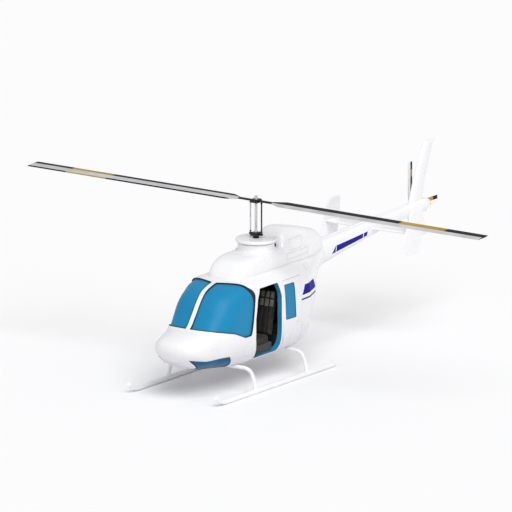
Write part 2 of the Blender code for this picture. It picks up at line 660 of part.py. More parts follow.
def build_tail_rotor():
    axis = empty("tail_rotor_axis", (TAIL_ROTOR_X, TAIL_ROTOR_Y, TAIL_ROTOR_Z), DATUM)
    x_dir, y_dir, z_dir = Vector((1, 0, 0)), Vector((0, 1, 0)), Vector((0, 0, 1))
    hub = add("tail_rotor_hub", cylinder("tail_rotor_hub", (0, 0), 0.035, -0.045, 0.062, 16), "steel", axis)
    hub.rotation_euler = (0, math.radians(90), 0)
    for name, span, chord, shift in (("tail_blades_upright", z_dir, y_dir, -0.02),
                                     ("tail_blades_level", y_dir, z_dir, 0.02)):
        rows = [(-TAIL_ROTOR_RADIUS, -0.07, 0.07, 0.016), (-0.20, -0.07, 0.07, 0.02),
                (-0.10, -0.05, 0.05, 0.03), (0.10, -0.05, 0.05, 0.03), (0.20, -0.07, 0.07, 0.02),
                (TAIL_ROTOR_RADIUS, -0.07, 0.07, 0.016)]
        shape = wing(name, rows, span, chord, x_dir, points=6)
        shape.transform(Matrix.Translation((shift, 0, 0)))
        piece = add(name, shape, "blade", axis)
        hole = bore(name + "_hole", (0, 0), 0.035, -0.2, 0.2)
        hole.transform(Matrix.Rotation(math.radians(90), 4, "Y"))
        cutter = tool(name + "_hole", hole)
        cutter.parent = axis
        cut(piece, "DIFFERENCE", cutter)


clear_scene()
PARTS = new_collection("helicopter")
CUTTERS = new_collection("helicopter_cutters")
DATUM = empty("mast_datum", (0, MAST_Y, 0))
POD_INSIDE = tool("pod_inside", pod_loft("pod_inside", WALL))
GLASS_INSIDE = tool("glass_inside", pod_loft("glass_inside", 0.016))
build_pod()
build_undercarriage()
build_roof()
build_tail()
build_cabin()
build_main_rotor()
build_tail_rotor()
bpy.context.view_layer.update()
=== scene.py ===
# %% [markdown]
# # A light helicopter on skids
# The imported model gives the frame: every panel, door and rotor is already in its place, in metres,
# and this lesson dresses it. The nose points along -Y, the port side is +X and the ground is z = 0.
# First the frame is loaded.

# %% Load the frame
import math

import bmesh
import bpy
from mathutils import Matrix, Vector


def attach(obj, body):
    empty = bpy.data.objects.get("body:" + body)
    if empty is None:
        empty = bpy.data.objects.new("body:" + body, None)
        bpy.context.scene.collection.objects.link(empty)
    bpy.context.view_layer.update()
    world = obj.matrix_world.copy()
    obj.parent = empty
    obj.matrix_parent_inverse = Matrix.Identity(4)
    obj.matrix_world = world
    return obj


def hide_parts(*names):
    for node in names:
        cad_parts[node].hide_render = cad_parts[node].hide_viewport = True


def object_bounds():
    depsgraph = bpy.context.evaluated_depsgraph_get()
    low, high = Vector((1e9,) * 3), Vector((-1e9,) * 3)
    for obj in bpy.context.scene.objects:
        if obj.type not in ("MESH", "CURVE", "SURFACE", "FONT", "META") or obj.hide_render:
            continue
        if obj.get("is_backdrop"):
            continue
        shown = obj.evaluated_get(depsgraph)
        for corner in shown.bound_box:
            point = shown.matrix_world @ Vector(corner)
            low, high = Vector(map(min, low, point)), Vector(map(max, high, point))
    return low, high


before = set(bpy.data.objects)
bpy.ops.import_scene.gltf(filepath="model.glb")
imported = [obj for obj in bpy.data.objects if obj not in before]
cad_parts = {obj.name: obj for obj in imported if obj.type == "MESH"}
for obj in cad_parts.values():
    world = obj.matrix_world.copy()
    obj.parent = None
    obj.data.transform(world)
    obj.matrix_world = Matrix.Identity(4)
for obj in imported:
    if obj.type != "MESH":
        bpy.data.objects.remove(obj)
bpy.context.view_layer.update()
MAST_Y = -1.79

# %% [markdown]
# The photograph was taken from the port bow, a little above the aircraft, with almost no perspective.
# A very long lens from far away gives the same view: the frame is 9.36 m wide at the mast.

# %% Camera
VIEW_WIDTH, AIM_HEIGHT = 9.36, 2.173
LENS, SENSOR = 1400.0, 36.0
azimuth, elevation = math.radians(34.1), math.radians(13.3)
towards_camera = Vector((math.sin(azimuth) * math.cos(elevation),
                         -math.cos(azimuth) * math.cos(elevation), math.sin(elevation)))
camera_data = bpy.data.cameras.new("port_bow_camera")
camera = bpy.data.objects.new("port_bow_camera", camera_data)
bpy.context.scene.collection.objects.link(camera)
camera_data.sensor_width = SENSOR
camera_data.lens = LENS
camera_data.clip_end = 1200.0
camera.location = Vector((0, MAST_Y, AIM_HEIGHT)) + towards_camera * (VIEW_WIDTH / SENSOR * LENS)
camera.rotation_euler = (-towards_camera).to_track_quat("-Z", "Y").to_euler()
bpy.context.scene.camera = camera
print("camera distance", round(camera.location.length, 1))

# %% [markdown]
# The light is soft and even, as in a white studio. A broad light high on the port bow, as wide as a
# bright ceiling, is made with a sun of a large angle, because it keeps the floor evenly lit to its
# edge. A white world fills in the rest and gives the paint something to mirror.

# %% Studio
SKY_STRENGTH = 0.52
SUN_STRENGTH, SUN_ANGLE, SUN_FROM = 2.15, 50, (0.50, -0.40, 0.82)
FLOOR_REACH = 400.0
scene = bpy.context.scene
scene.view_settings.view_transform = "Standard"
scene.world = bpy.data.worlds.new("studio_world")
scene.world.use_nodes = True
sky = scene.world.node_tree.nodes["Background"]
sky.inputs["Color"].default_value = (1.0, 1.0, 1.0, 1.0)
sky.inputs["Strength"].default_value = SKY_STRENGTH
sun = bpy.data.lights.new("port_bow_light", "SUN")
sun.energy = SUN_STRENGTH
sun.angle = math.radians(SUN_ANGLE)
light = bpy.data.objects.new("port_bow_light", sun)
scene.collection.objects.link(light)
light.rotation_euler = Vector(SUN_FROM).to_track_quat("Z", "Y").to_euler()
work = bmesh.new()
bmesh.ops.create_grid(work, x_segments=2, y_segments=2, size=FLOOR_REACH)
floor = bpy.data.objects.new("studio_floor", bpy.data.meshes.new("studio_floor"))
work.to_mesh(floor.data)
work.free()
scene.collection.objects.link(floor)
floor_paint = bpy.data.materials.new("pale_floor")
floor_paint.use_nodes = True
floor_shader = floor_paint.node_tree.nodes["Principled BSDF"]
floor_shader.inputs["Base Color"].default_value = (0.93, 0.93, 0.94, 1)
floor_shader.inputs["Roughness"].default_value = 0.9
floor.data.materials.append(floor_paint)
floor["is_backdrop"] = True
print("floor", floor.name)

# %% [markdown]
# Each finish is a small node tree on Object coordinates, so its grain keeps its size on every piece.
# The helper makes the common parts: a colour that drifts a little between two tones, a roughness that
# follows a finer noise, and a bump for the grain that the hand would feel.

# %% How a finish is made
def add_node(tree, kind, **inputs):
    """A node of this kind, with the inputs that are named."""
    made = tree.nodes.new("ShaderNode" + kind)
    for socket, value in inputs.items():
        made.inputs[socket.replace("_", " ")].default_value = value
    return made


def join(tree, *joints):
    """Link one node's output to another's input, for each (node, output, node, input)."""
    for start, way_out, end, way_in in joints:
        tree.links.new(start.outputs[way_out], end.inputs[way_in])


def finish(name, light, dark, rough, grain_size, grain_height, patch_size=3.0, **fixed):
    """A finish that drifts from light to dark, with a fine grain of its own."""
    made = bpy.data.materials.new(name)
    made.use_nodes = True
    tree = made.node_tree
    shader = tree.nodes["Principled BSDF"]
    place = add_node(tree, "TexCoord")
    patches = add_node(tree, "TexNoise", Scale=patch_size, Detail=5.0)
    tones = add_node(tree, "ValToRGB")
    for stop, position, tone in zip(tones.color_ramp.elements, (0.35, 0.62), (dark, light)):
        stop.position = position
        stop.color = (*tone, 1)
    grain = add_node(tree, "TexNoise", Scale=grain_size, Detail=3.0)
    spread = add_node(tree, "MapRange", To_Min=rough[0], To_Max=rough[1])
    bump = add_node(tree, "Bump", Distance=grain_height, Strength=0.5)
    join(tree, (place, "Object", patches, "Vector"), (place, "Object", grain, "Vector"),
         (patches, "Fac", tones, "Fac"), (tones, "Color", shader, "Base Color"),
         (patches, "Fac", spread, "Value"), (spread, "Result", shader, "Roughness"),
         (grain, "Fac", bump, "Height"), (bump, "Normal", shader, "Normal"))
    for socket, value in fixed.items():
        shader.inputs[socket.replace("_", " ")].default_value = value
    return made


def node_of(made, kind):
    return next(node for node in made.node_tree.nodes if node.type == kind)


def paint_shade_below(made, low, high, tint):
    """Darken a finish towards the ground with painted shade, for the dimmer light under the pod."""
    tree = made.node_tree
    shader = node_of(made, "BSDF_PRINCIPLED")
    split = add_node(tree, "SeparateXYZ")
    height = add_node(tree, "MapRange", From_Min=low, From_Max=high, To_Min=1.0, To_Max=0.0)
    height.interpolation_type = "SMOOTHSTEP"
    shade_mix = add_node(tree, "Mix")
    shade_mix.data_type = "RGBA"
    shade_mix.blend_type = "MULTIPLY"
    colour_a, colour_b, colour_out = 6, 7, 2
    shade_mix.inputs[colour_b].default_value = (*tint, 1)
    tree.links.new(shader.inputs["Base Color"].links[0].from_socket, shade_mix.inputs[colour_a])
    join(tree, (node_of(made, "TEX_COORD"), "Object", split, "Vector"), (split, "Z", height, "Value"),
         (height, "Result", shade_mix, "Factor"), (shade_mix, colour_out, shader, "Base Color"))


print("finish helpers ready")

# %% [markdown]
# White paint is the main finish: two close whites under a thin clear coat, with painted shade that
# greys it towards the ground. The windows are a blue that lets nothing through, so they are painted
# pieces with a faint gloss, and not glass, which would show the dark cabin behind them.

# %% The aircraft's finishes
WHITE = finish("white_gloss", (0.88, 0.88, 0.895), (0.855, 0.855, 0.875), (0.22, 0.32), 220, 0.0004,
               1.3, Coat_Weight=0.4, Coat_Roughness=0.15)
# painted shade: the white is multiplied towards a lavender grey below 1.25 m, as shade near the ground
paint_shade_below(WHITE, 0.45, 1.25, (0.84, 0.825, 0.85))
TUBE_WHITE = finish("white_tubes", (0.90, 0.90, 0.91), (0.86, 0.86, 0.87), (0.25, 0.4), 260, 0.0003,
                    4.0)
BLUE_GLASS = finish("blue_window", (0.012, 0.232, 0.450), (0.010, 0.215, 0.42), (0.34, 0.42), 1.6,
                    0.0006, 0.8, Specular_IOR_Level=0.14, Coat_Weight=0.03, Coat_Roughness=0.05)
# painted shade: the chin windows face the ground, so their blue is a darker copy of the window blue
SHADED_CHIN_GLASS = finish("chin_window_blue", (0.004, 0.120, 0.250), (0.003, 0.100, 0.215), (0.3, 0.4), 1.6,
                    0.0006, 2.0, Specular_IOR_Level=0.2)
DARK_STRIPE = finish("navy_stripe", (0.006, 0.003, 0.31), (0.004, 0.002, 0.25), (0.45, 0.6), 220,
                     0.0003, 4.0, Specular_IOR_Level=0.12)
# grey for the cowling's panel lines, and painted shade in the collar's groove
SEAM_AND_SHADE_GREY = finish("seam_and_shade_grey", (0.50, 0.50, 0.52), (0.40, 0.40, 0.42), (0.4, 0.6), 300, 0.0003, 6.0)
JAMB_BLUE = finish("blue_jamb", (0.030, 0.27, 0.50), (0.022, 0.21, 0.40), (0.35, 0.5), 300, 0.0004, 5.0)
RUBBER = finish("black_seal", (0.014, 0.014, 0.015), (0.008, 0.008, 0.009), (0.5, 0.75), 500, 0.0005,
                8.0)
TRIM = finish("dark_trim", (0.030, 0.028, 0.026), (0.016, 0.015, 0.014), (0.55, 0.8), 420, 0.0008, 6.0)
BLACK = finish("black_paint", (0.014, 0.014, 0.015), (0.006, 0.006, 0.007), (0.3, 0.5), 260, 0.0004,
               9.0, Specular_IOR_Level=0.35)
STEEL = finish("mast_steel", (0.66, 0.66, 0.68), (0.50, 0.50, 0.52), (0.25, 0.42), 160, 0.0003, 14.0,
               Metallic=0.75)
BLADE_GREY = finish("blade_grey", (0.60, 0.60, 0.62), (0.46, 0.46, 0.48), (0.32, 0.5), 150, 0.0004, 2.2)
BLADE_BLACK = finish("blade_black", (0.012, 0.012, 0.012), (0.005, 0.005, 0.005), (0.45, 0.65), 150,
                     0.0004, Specular_IOR_Level=0.2)
BLADE_YELLOW = finish("blade_yellow", (0.46, 0.30, 0.035), (0.34, 0.21, 0.015), (0.4, 0.6), 150, 0.0004,
                      Specular_IOR_Level=0.25)
print("finishes", len(bpy.data.materials))

# %% [markdown]
# A smooth hull such as this pod could be sculpted or subdivided. A loft is easier to measure: each
# section is a circle of points pushed onto a rounded box, whose sizes stand in one row of a table,
# and one ring is bridged to the next. Rows between the table's own are eased in, so about twenty
# rows make a smooth hull.

# %% Lofts
SHELL_FINISHES = (WHITE, TRIM, JAMB_BLUE, RUBBER, BLUE_GLASS, SHADED_CHIN_GLASS, DARK_STRIPE, SEAM_AND_SHADE_GREY)
COLUMNS = 7


def hold(name, work, finishes=SHELL_FINISHES, paint=0):
    """Keep a bmesh as an object, with one paint index on all its faces."""
    for face in work.faces:
        if paint is not None:
            face.material_index = paint
        face.smooth = True
    mesh = bpy.data.meshes.new(name)
    work.to_mesh(mesh)
    work.free()
    for material in finishes:
        mesh.materials.append(material)
    made = bpy.data.objects.new(name, mesh)
    scene.collection.objects.link(made)
    return made


def eased_rows(rows, step):
    """Smooth rows between the table's own, without overshoot."""
    along = [0.0]
    for a, b in zip(rows, rows[1:]):
        along.append(along[-1] + math.dist(a[:2] + (a[4],), b[:2] + (b[4],)))
    slopes = []
    for c in range(COLUMNS):
        rise = [(rows[i + 1][c] - rows[i][c]) / (along[i + 1] - along[i]) for i in range(len(rows) - 1)]
        inner = [0.0 if a * b <= 0 else 2 * a * b / (a + b) for a, b in zip(rise, rise[1:])]
        slopes.append([rise[0]] + inner + [rise[-1]])
    made = []
    for i in range(len(rows) - 1):
        span = along[i + 1] - along[i]
        parts = max(1, math.ceil(span / step))
        for k in range(parts):
            t = k / parts
            row = []
            for c in range(COLUMNS):
                a, b, m, n = rows[i][c], rows[i + 1][c], slopes[c][i] * span, slopes[c][i + 1] * span
                row.append(a * (1 + 2 * t) * (1 - t) ** 2 + b * t * t * (3 - 2 * t)
                           + m * t * (1 - t) ** 2 - n * t * t * (1 - t))
            made.append(tuple(row))
    made.append(rows[-1])
    return made


def box_point(row, turn, inset):
    """A point of a rounded box section: y, half width, bottom, middle, top and two corner powers."""
    y, half_width, bottom, middle, top, upper, lower = row
    across, up = math.cos(turn), math.sin(turn)
    power = upper if up >= 0 else lower
    reach = (top - middle) if up >= 0 else (middle - bottom)
    reach = max(reach - inset, 0.2 * reach)
    wide = max(half_width - inset, 0.2 * half_width)
    return Vector((wide * math.copysign(abs(across) ** (2 / power), across), y,
                   middle + reach * math.copysign(abs(up) ** (2 / power), up)))


def ring_loft(name, rings, paint=0, finishes=SHELL_FINISHES):
    """Bridge rings of points, given in order, into one closed form."""
    work = bmesh.new()
    last = None
    for number, points in enumerate(rings):
        ends = number in (0, len(rings) - 1)
        ring = bmesh.ops.create_circle(work, cap_ends=ends, radius=1.0, segments=len(points))["verts"]
        ring.sort(key=lambda v: math.atan2(v.co.y, v.co.x) % (2 * math.pi))
        for vert, point in zip(ring, points):
            vert.co = point
        edges = [work.edges.get((a, b)) for a, b in zip(ring, ring[1:] + ring[:1])]
        if last:
            bmesh.ops.bridge_loops(work, edges=last + edges)
        last = edges
    bmesh.ops.recalc_face_normals(work, faces=work.faces)
    return hold(name, work, finishes, paint)


def box_loft(name, rows, inset=0.0, sides=96, step=0.05, paint=0, nose_share=None):
    rings = []
    for row in eased_rows(rows, step):
        share = nose_share(row[0]) if nose_share else 0.0
        moved = (row[0] + inset * share,) + tuple(row[1:])
        rings.append([box_point(moved, 2 * math.pi * i / sides, inset) for i in range(sides)])
    return ring_loft(name, rings, paint)


print("lofts ready")

# %% [markdown]
# The hull's panels, doors and windows share one smooth skin, so they are carved from it and fit each
# other exactly. A carve is a Boolean whose result is kept as the mesh, and a slice is a part of a
# form carved out as a piece of its own. Settling a piece moves it from the mast's frame, in which all
# sizes here are measured, to the aircraft's own, shades it, and says which body it rides on.

# %% Carving and settling


def mesh_now(piece):
    """The piece's mesh as its modifiers, or its curve, make it."""
    bpy.context.view_layer.update()
    return bpy.data.meshes.new_from_object(piece.evaluated_get(bpy.context.evaluated_depsgraph_get()))


def discard(*pieces):
    for piece in pieces:
        bpy.data.objects.remove(piece, do_unlink=True)


def carve(piece, operation, *cutters):
    """Carve with one form after the other, and keep the result as the piece's mesh."""
    for cutter in cutters:
        step = piece.modifiers.new("carve", "BOOLEAN")
        step.operation = operation
        step.solver = "MANIFOLD"
        step.object = cutter
        made = mesh_now(piece)
        piece.modifiers.clear()
        piece.data = made
    return piece


def use_up(piece, operation, *cutters):
    """Carve with forms that nothing else needs, and take them away."""
    carve(piece, operation, *cutters)
    discard(*cutters)
    return piece


def copy_of(piece, name):
    made = bpy.data.objects.new(name, piece.data.copy())
    scene.collection.objects.link(made)
    return made


def slice_of(form, name, region, *away):
    """A piece of its own: what lies in the form and the region, and in none of the others."""
    return carve(use_up(copy_of(form, name), "INTERSECT", region), "DIFFERENCE", *away)


def rotation(degrees, axis):
    return Matrix.Rotation(math.radians(degrees), 4, axis)


def settle(piece, body, stands_for=None, sharp=30.0):
    """Move a piece from the mast's frame to the aircraft's, shade it and let it ride."""
    piece.data.transform(Matrix.Translation((0, MAST_Y, 0)))
    piece.data.shade_smooth()
    piece.data.set_sharp_from_angle(angle=math.radians(sharp))
    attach(piece, body)
    if stands_for:
        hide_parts(stands_for)
    return piece


print("carving and settling ready")

# %% [markdown]
# Four kinds of stock serve for all small pieces and for the cutters: a slab from a flat outline, a
# brick with softened edges, a turned piece from a profile, and a round bar along a route. Each is
# closed, because a Boolean needs closed forms.

# %% Stock shapes


def slab(name, outline, axis, low, high, inset=0.0, rounded=0.0, paint=0):
    """A flat outline with rounded corners, carried along X or Z, closed at both ends."""
    work = bmesh.new()
    corners = [work.verts.new((0, a, b) if axis == "X" else (a, b, 0)) for a, b in outline]
    bmesh.ops.contextual_create(work, geom=corners)
    if inset:
        rim = bmesh.ops.inset_individual(work, faces=list(work.faces), thickness=inset,
                                         use_even_offset=True)
        bmesh.ops.delete(work, geom=rim["faces"], context="FACES")
    if rounded:
        bmesh.ops.bevel(work, geom=list(work.verts), offset=rounded, offset_type="OFFSET", segments=6,
                        profile=0.5, affect="VERTICES", material=-1)
    up = Vector((1, 0, 0)) if axis == "X" else Vector((0, 0, 1))
    grown = bmesh.ops.extrude_face_region(work, geom=list(work.faces))
    moved = [v for v in grown["geom"] if isinstance(v, bmesh.types.BMVert)]
    bmesh.ops.translate(work, verts=moved, vec=up * (high - low))
    bmesh.ops.translate(work, verts=work.verts, vec=up * low)
    bmesh.ops.recalc_face_normals(work, faces=work.faces)
    return hold(name, work, paint=paint)


def brick(name, low, high, rounded=0.0, paint=0, finishes=SHELL_FINISHES):
    """A block with softened edges."""
    low, high = Vector(low), Vector(high)
    work = bmesh.new()
    bmesh.ops.create_cube(work, size=1.0)
    bmesh.ops.scale(work, verts=work.verts, vec=high - low)
    bmesh.ops.translate(work, verts=work.verts, vec=(high + low) / 2)
    if rounded:
        bmesh.ops.bevel(work, geom=list(work.edges), offset=rounded, offset_type="OFFSET", segments=4,
                        profile=0.5, affect="EDGES", material=-1)
    return hold(name, work, finishes, paint)


def lathe(name, profile, centre=(0, 0, 0), steps=96, paint=0, finishes=SHELL_FINISHES, turned=None):
    """A profile of (radius, z) points spun once round the Z axis."""
    work = bmesh.new()
    dots = [work.verts.new((r, 0, z)) for r, z in profile]
    edges = [work.edges.new(pair) for pair in zip(dots, dots[1:] + dots[:1])]
    bmesh.ops.spin(work, geom=dots + edges, cent=(0, 0, 0), axis=(0, 0, 1), angle=2 * math.pi,
                   steps=steps, use_merge=True)
    bmesh.ops.remove_doubles(work, verts=work.verts, dist=0.00002)
    bmesh.ops.recalc_face_normals(work, faces=work.faces)
    if turned:
        bmesh.ops.transform(work, matrix=turned, verts=work.verts)
    bmesh.ops.translate(work, verts=work.verts, vec=centre)
    return hold(name, work, finishes, paint)


def bar(name, points, radius, sides=24, paint=0, finishes=SHELL_FINISHES, smooth=True):
    """A round bar along a smooth route, closed at both ends."""
    curve = bpy.data.curves.new(name, "CURVE")
    curve.dimensions = "3D"
    curve.bevel_depth = radius
    curve.bevel_resolution = max(1, sides // 4 - 1)
    curve.use_fill_caps = True
    curve.resolution_u = 10
    spline = curve.splines.new("NURBS" if smooth else "POLY")
    spline.points.add(len(points) - 1)
    for knot, point in zip(spline.points, points):
        knot.co = (*point, 1)
    if smooth:
        spline.order_u = 3
        spline.use_endpoint_u = True
    route = bpy.data.objects.new(name + "_route", curve)
    scene.collection.objects.link(route)
    mesh = mesh_now(route)
    discard(route)
    work = bmesh.new()
    work.from_mesh(mesh)
    bmesh.ops.remove_doubles(work, verts=work.verts, dist=0.00005)
    bmesh.ops.recalc_face_normals(work, faces=work.faces)
    return hold(name, work, finishes, paint)


def mirrored(outline):
    return [(-a, b) for a, b in outline]


print("stock shapes ready")

# %% [markdown]
# The cabin pod is one smooth egg that was built in panels. The table holds its sections, from the
# nose to the tail boom. The inner form is the same loft 60 mm further in, so the wall has the depth
# that its doors show.

# %% The pod's forms
POD = [
    (-2.7995, 0.015, 0.915, 0.925, 0.935, 2.0, 2.0),
    (-2.788, 0.13, 0.865, 0.925, 0.985, 2.0, 2.0),
    (-2.74, 0.32, 0.76, 0.92, 1.06, 2.1, 2.0),
    (-2.60, 0.465, 0.66, 0.92, 1.13, 2.3, 2.1),
    (-2.40, 0.535, 0.55, 0.91, 1.19, 2.5, 2.5),
    (-2.22, 0.565, 0.51, 0.91, 1.24, 2.6, 2.8),
    (-2.05, 0.58, 0.485, 0.93, 1.43, 2.6, 3.0),
    (-1.85, 0.63, 0.465, 0.96, 1.70, 2.8, 3.1),
    (-1.70, 0.67, 0.45, 1.00, 1.84, 3.1, 3.2),
    (-1.50, 0.695, 0.425, 1.06, 1.915, 3.7, 3.4),
    (-1.33, 0.70, 0.41, 1.10, 1.95, 4.8, 3.6),
    (-1.00, 0.71, 0.405, 1.11, 1.98, 5.8, 3.7),
    (0.00, 0.71, 0.40, 1.11, 1.98, 5.8, 3.6),
    (0.40, 0.71, 0.39, 1.11, 1.98, 5.2, 3.4),
    (0.70, 0.695, 0.415, 1.14, 1.98, 4.3, 3.1),
    (0.90, 0.63, 0.53, 1.21, 1.98, 3.5, 2.7),
    (1.10, 0.553, 0.725, 1.32, 1.985, 3.0, 2.5),
    (1.30, 0.455, 0.985, 1.46, 2.00, 2.8, 2.3),
    (1.50, 0.34, 1.245, 1.60, 2.03, 2.6, 2.2),
    (1.75, 0.25, 1.50, 1.78, 2.06, 2.4, 2.2),
    (1.95, 0.20, 1.605, 1.85, 2.085, 2.4, 2.2),
]
WALL = 0.06
CLEAR = 0.006
DOOR_BOTTOM, DOOR_TOP = 0.52, 1.82
HINGE_X = 0.715


def nose_share(y):
    return max(0.0, (-1.9 - y) / 0.9)


def pod_form(name, inset, paint=0):
    return box_loft(name, POD, inset, paint=paint, nose_share=nose_share)


skin_form = pod_form("skin_form", 0.0)
wall_form = pod_form("wall_form", WALL, paint=1)
proud_form = pod_form("proud_form", -0.003, paint=3)
flush_forms = [pod_form("flush_form", depth, paint=4) for depth in (0.005, 0.013, 0.010)]
sunk_forms = [pod_form("sunk_form", depth, paint=4) for depth in (0.024, 0.032, 0.034)]
print("pod points", len(skin_form.data.vertices))

# %% [markdown]
# Doors and windows are outlines seen from the side or from above. A slab of each outline cuts the
# wall, a slightly smaller one cuts the pane, and the ring between two slabs is the rubber seal that
# shows in the photograph as a thin black line.

# %% Outlines
FRONT_DOORWAY = [(-0.98, DOOR_BOTTOM), (-1.04, 0.90), (-1.04, 1.27), (-0.975, 1.64), (-0.865, DOOR_TOP),
                 (-0.29, DOOR_TOP), (-0.19, 1.52), (0.20, 1.52), (0.20, 0.75), (-0.19, 0.75),
                 (-0.23, DOOR_BOTTOM)]
FRONT_DOOR = [(y - 0.012 if -0.30 < y < 0.0 else y, z) for y, z in FRONT_DOORWAY]
REAR_DOORWAY = [(-0.145, DOOR_BOTTOM), (-0.145, DOOR_TOP), (0.70, DOOR_TOP), (0.70, DOOR_BOTTOM)]
FRONT_WINDOW = [(-0.97, 1.12), (-0.97, 1.30), (-0.90, 1.62), (-0.82, 1.74), (-0.34, 1.74),
                (-0.26, 1.50), (-0.26, 1.12)]
REAR_WINDOW = [(-0.065, 1.08), (-0.105, 1.74), (0.216, 1.735), (0.267, 1.075)]
WINDSHIELD_SIDE = [(-3.0, 1.30), (-2.22, 1.243), (-1.975, 1.193), (-1.675, 1.125), (-1.372, 0.998),
                   (-1.18, 1.00), (-1.145, 1.10), (-1.115, 1.249), (-1.075, 1.531), (-1.035, 1.757),
                   (-1.02, 2.40), (-3.0, 2.40)]
CHIN_SIDE = [(-2.665, 0.776), (-2.355, 0.723), (-1.775, 0.715), (-1.65, 0.537), (-1.60, 0.30),
             (-2.28, 0.30), (-2.36, 0.56)]
POST_HALF = 0.045
WINDSHIELD_PLAN = [(POST_HALF, -3.0), (POST_HALF, -1.36), (0.394, -1.25), (0.612, -1.165),
                   (0.70, -1.03), (1.0, -1.02), (1.0, -3.0)]
CHIN_PLAN = [(0.16, -2.70), (0.16, -2.30), (0.36, -1.50), (0.90, -1.50), (0.90, -2.70)]
SIDES = {"port": 1, "starboard": -1}


def two_way_slab(name, plan, outline, side, inset, rounded):
    """What lies inside an outline from above and another from the side."""
    sign = SIDES[side]
    body = slab(name, plan if sign > 0 else mirrored(plan), "Z", 0.2, 2.5, inset, rounded)
    low, high = sorted((0.02 * sign, 1.0 * sign))
    return use_up(body, "INTERSECT", slab(name + "_side", outline, "X", low, high, inset, rounded))


def side_slab(name, outline, side, inset=0.0, rounded=0.0, paint=0):
    low, high = (0.35, 1.0) if side == "port" else (-1.0, -0.35)
    return slab(name, outline, "X", low, high, inset, rounded, paint)


def door_slab(name, outline, side, hinge_y, reach, inset, paint):
    """A doorway whose rear edge is swept round the hinge, as the door needs."""
    body = side_slab(name, outline, side, inset, 0.02, paint)
    swept = lathe(name + "_sweep", [(0.0, 0.2), (reach - inset, 0.2), (reach - inset, 2.2), (0.0, 2.2)],
                  (HINGE_X * SIDES[side], hinge_y, 0), 128, paint)
    return use_up(body, "INTERSECT", swept)


# outline, the hinge's y, the door's reach from its hinge, and the paint of its opening's edge
DOORS = {"front": (FRONT_DOORWAY, -1.05, 0.84, 2), "rear": (REAR_DOORWAY, -0.151, 0.60, 0)}
doorways = {(place, side): door_slab("%s_way_%s" % (place, side), outline, side, hinge_y, reach + CLEAR,
                                     0.0, edge_paint)
            for place, (outline, hinge_y, reach, edge_paint) in DOORS.items() for side in SIDES}
shields = {side: two_way_slab("shield_way_" + side, WINDSHIELD_PLAN, WINDSHIELD_SIDE, side, 0.0, 0.03)
           for side in SIDES}
chins = {side: two_way_slab("chin_way_" + side, CHIN_PLAN, CHIN_SIDE, side, 0.0, 0.02)
         for side in SIDES}
print("openings", len(doorways) + len(shields) + len(chins))

# %% [markdown]
# The shell is cut into the panels that the maker would rivet together: the nose with the front
# doorways, the belly, the roof, the posts between the doors, and the tail end of the pod. The
# joints are 1 mm wide, so they read as fine lines and nothing more.

# %% Shell panels
JOINT = 0.001
NOSE_JOINT_Y, AFT_JOINT_Y = -0.72, 0.40


def shell_panel(name, low, high, cutters, stands_for):
    panel = slice_of(skin_form, name, brick("region", low, high), wall_form, *cutters)
    return settle(panel, "airframe", stands_for)


front_ways = [doorways["front", side] for side in SIDES]
rear_ways = [doorways["rear", side] for side in SIDES]
nose_panel = shell_panel("nose_panel", (-1, -3, 0), (1, NOSE_JOINT_Y - JOINT, 2.5),
                         [*shields.values(), *chins.values(), *front_ways], "nose_shell")
for name, low, high in (("belly", 0, DOOR_BOTTOM), ("roof", DOOR_TOP, 2.5)):
    shell_panel(name + "_panel", (-1, NOSE_JOINT_Y, low), (1, AFT_JOINT_Y - JOINT, high), [],
                name + "_shell")
aft_panel = shell_panel("aft_panel", (-1, AFT_JOINT_Y, 0), (1, 3, 2.5), rear_ways, "aft_shell")
for side, sign in SIDES.items():
    low, high = sorted((0.3 * sign, 1.0 * sign))
    shell_panel("post_panel_" + side, (low, -0.40, DOOR_BOTTOM + JOINT),
                (high, 0.0, DOOR_TOP - JOINT), [doorways["front", side], doorways["rear", side]],
                "door_post_" + side)
print("nose faces", len(nose_panel.data.polygons), "aft faces", len(aft_panel.data.polygons))

# %% [markdown]
# Each pane is an 8 mm layer between two lofts inside the skin, so it is curved with the pod. The seal
# round it stands 3 mm proud and runs in to a third loft. The small windows lie almost flush. The
# windshields are sunk 24 mm, so from the front the depth of their seals shows as a black line along
# the roof and the door post, and hardly at all along the nose.

# %% Panes and seals


def whole_window(name, maker, body, stands_for, width, forms=flush_forms, tint=BLUE_GLASS):
    """A pane and its seal. Maker gives the window's slab at an inset; width is the seal's.

    Forms are the pane's front, its back and the seal's back."""
    glass_front, glass_back, seal_back = forms
    outer, middle, inner = maker(0.0002), maker(0.004), maker(width)
    pane = slice_of(glass_front, "pane_" + name, middle, glass_back)
    pane.data.materials.clear()
    pane.data.materials.append(tint)
    settle(pane, body, stands_for)
    seal = slice_of(proud_form, "seal_" + name, outer, inner, seal_back)
    discard(inner)
    for face in seal.data.polygons:
        face.material_index = SHELL_FINISHES.index(RUBBER)
    settle(seal, body)


WINDSHIELD_SEAL, CHIN_SEAL, DOOR_SEAL = 0.012, 0.0055, 0.0065
for side in SIDES:
    whole_window("windshield_" + side,
                 lambda inset: two_way_slab("cut", WINDSHIELD_PLAN, WINDSHIELD_SIDE, side, inset, 0.03),
                 "airframe", "windshield_" + side, WINDSHIELD_SEAL, sunk_forms)
    whole_window("chin_" + side,
                 lambda inset: two_way_slab("cut", CHIN_PLAN, CHIN_SIDE, side, inset, 0.02),
                 "airframe", "chin_window_" + side, CHIN_SEAL, tint=SHADED_CHIN_GLASS)
print("airframe windows made")

# %% [markdown]
# The three doors that are fitted are cut from the same wall, 6 mm smaller than their openings, so
# they are as thick as the wall and flush with it. Each one carries its window and its seal. Its
# handle and hinges follow with the other small fittings.

# %% Doors
DOOR_BODIES = (("front", "starboard", FRONT_DOOR, FRONT_WINDOW, "starboard_front_door"),
               ("rear", "port", REAR_DOORWAY, REAR_WINDOW, "port_rear_door"),
               ("rear", "starboard", REAR_DOORWAY, REAR_WINDOW, "starboard_rear_door"))


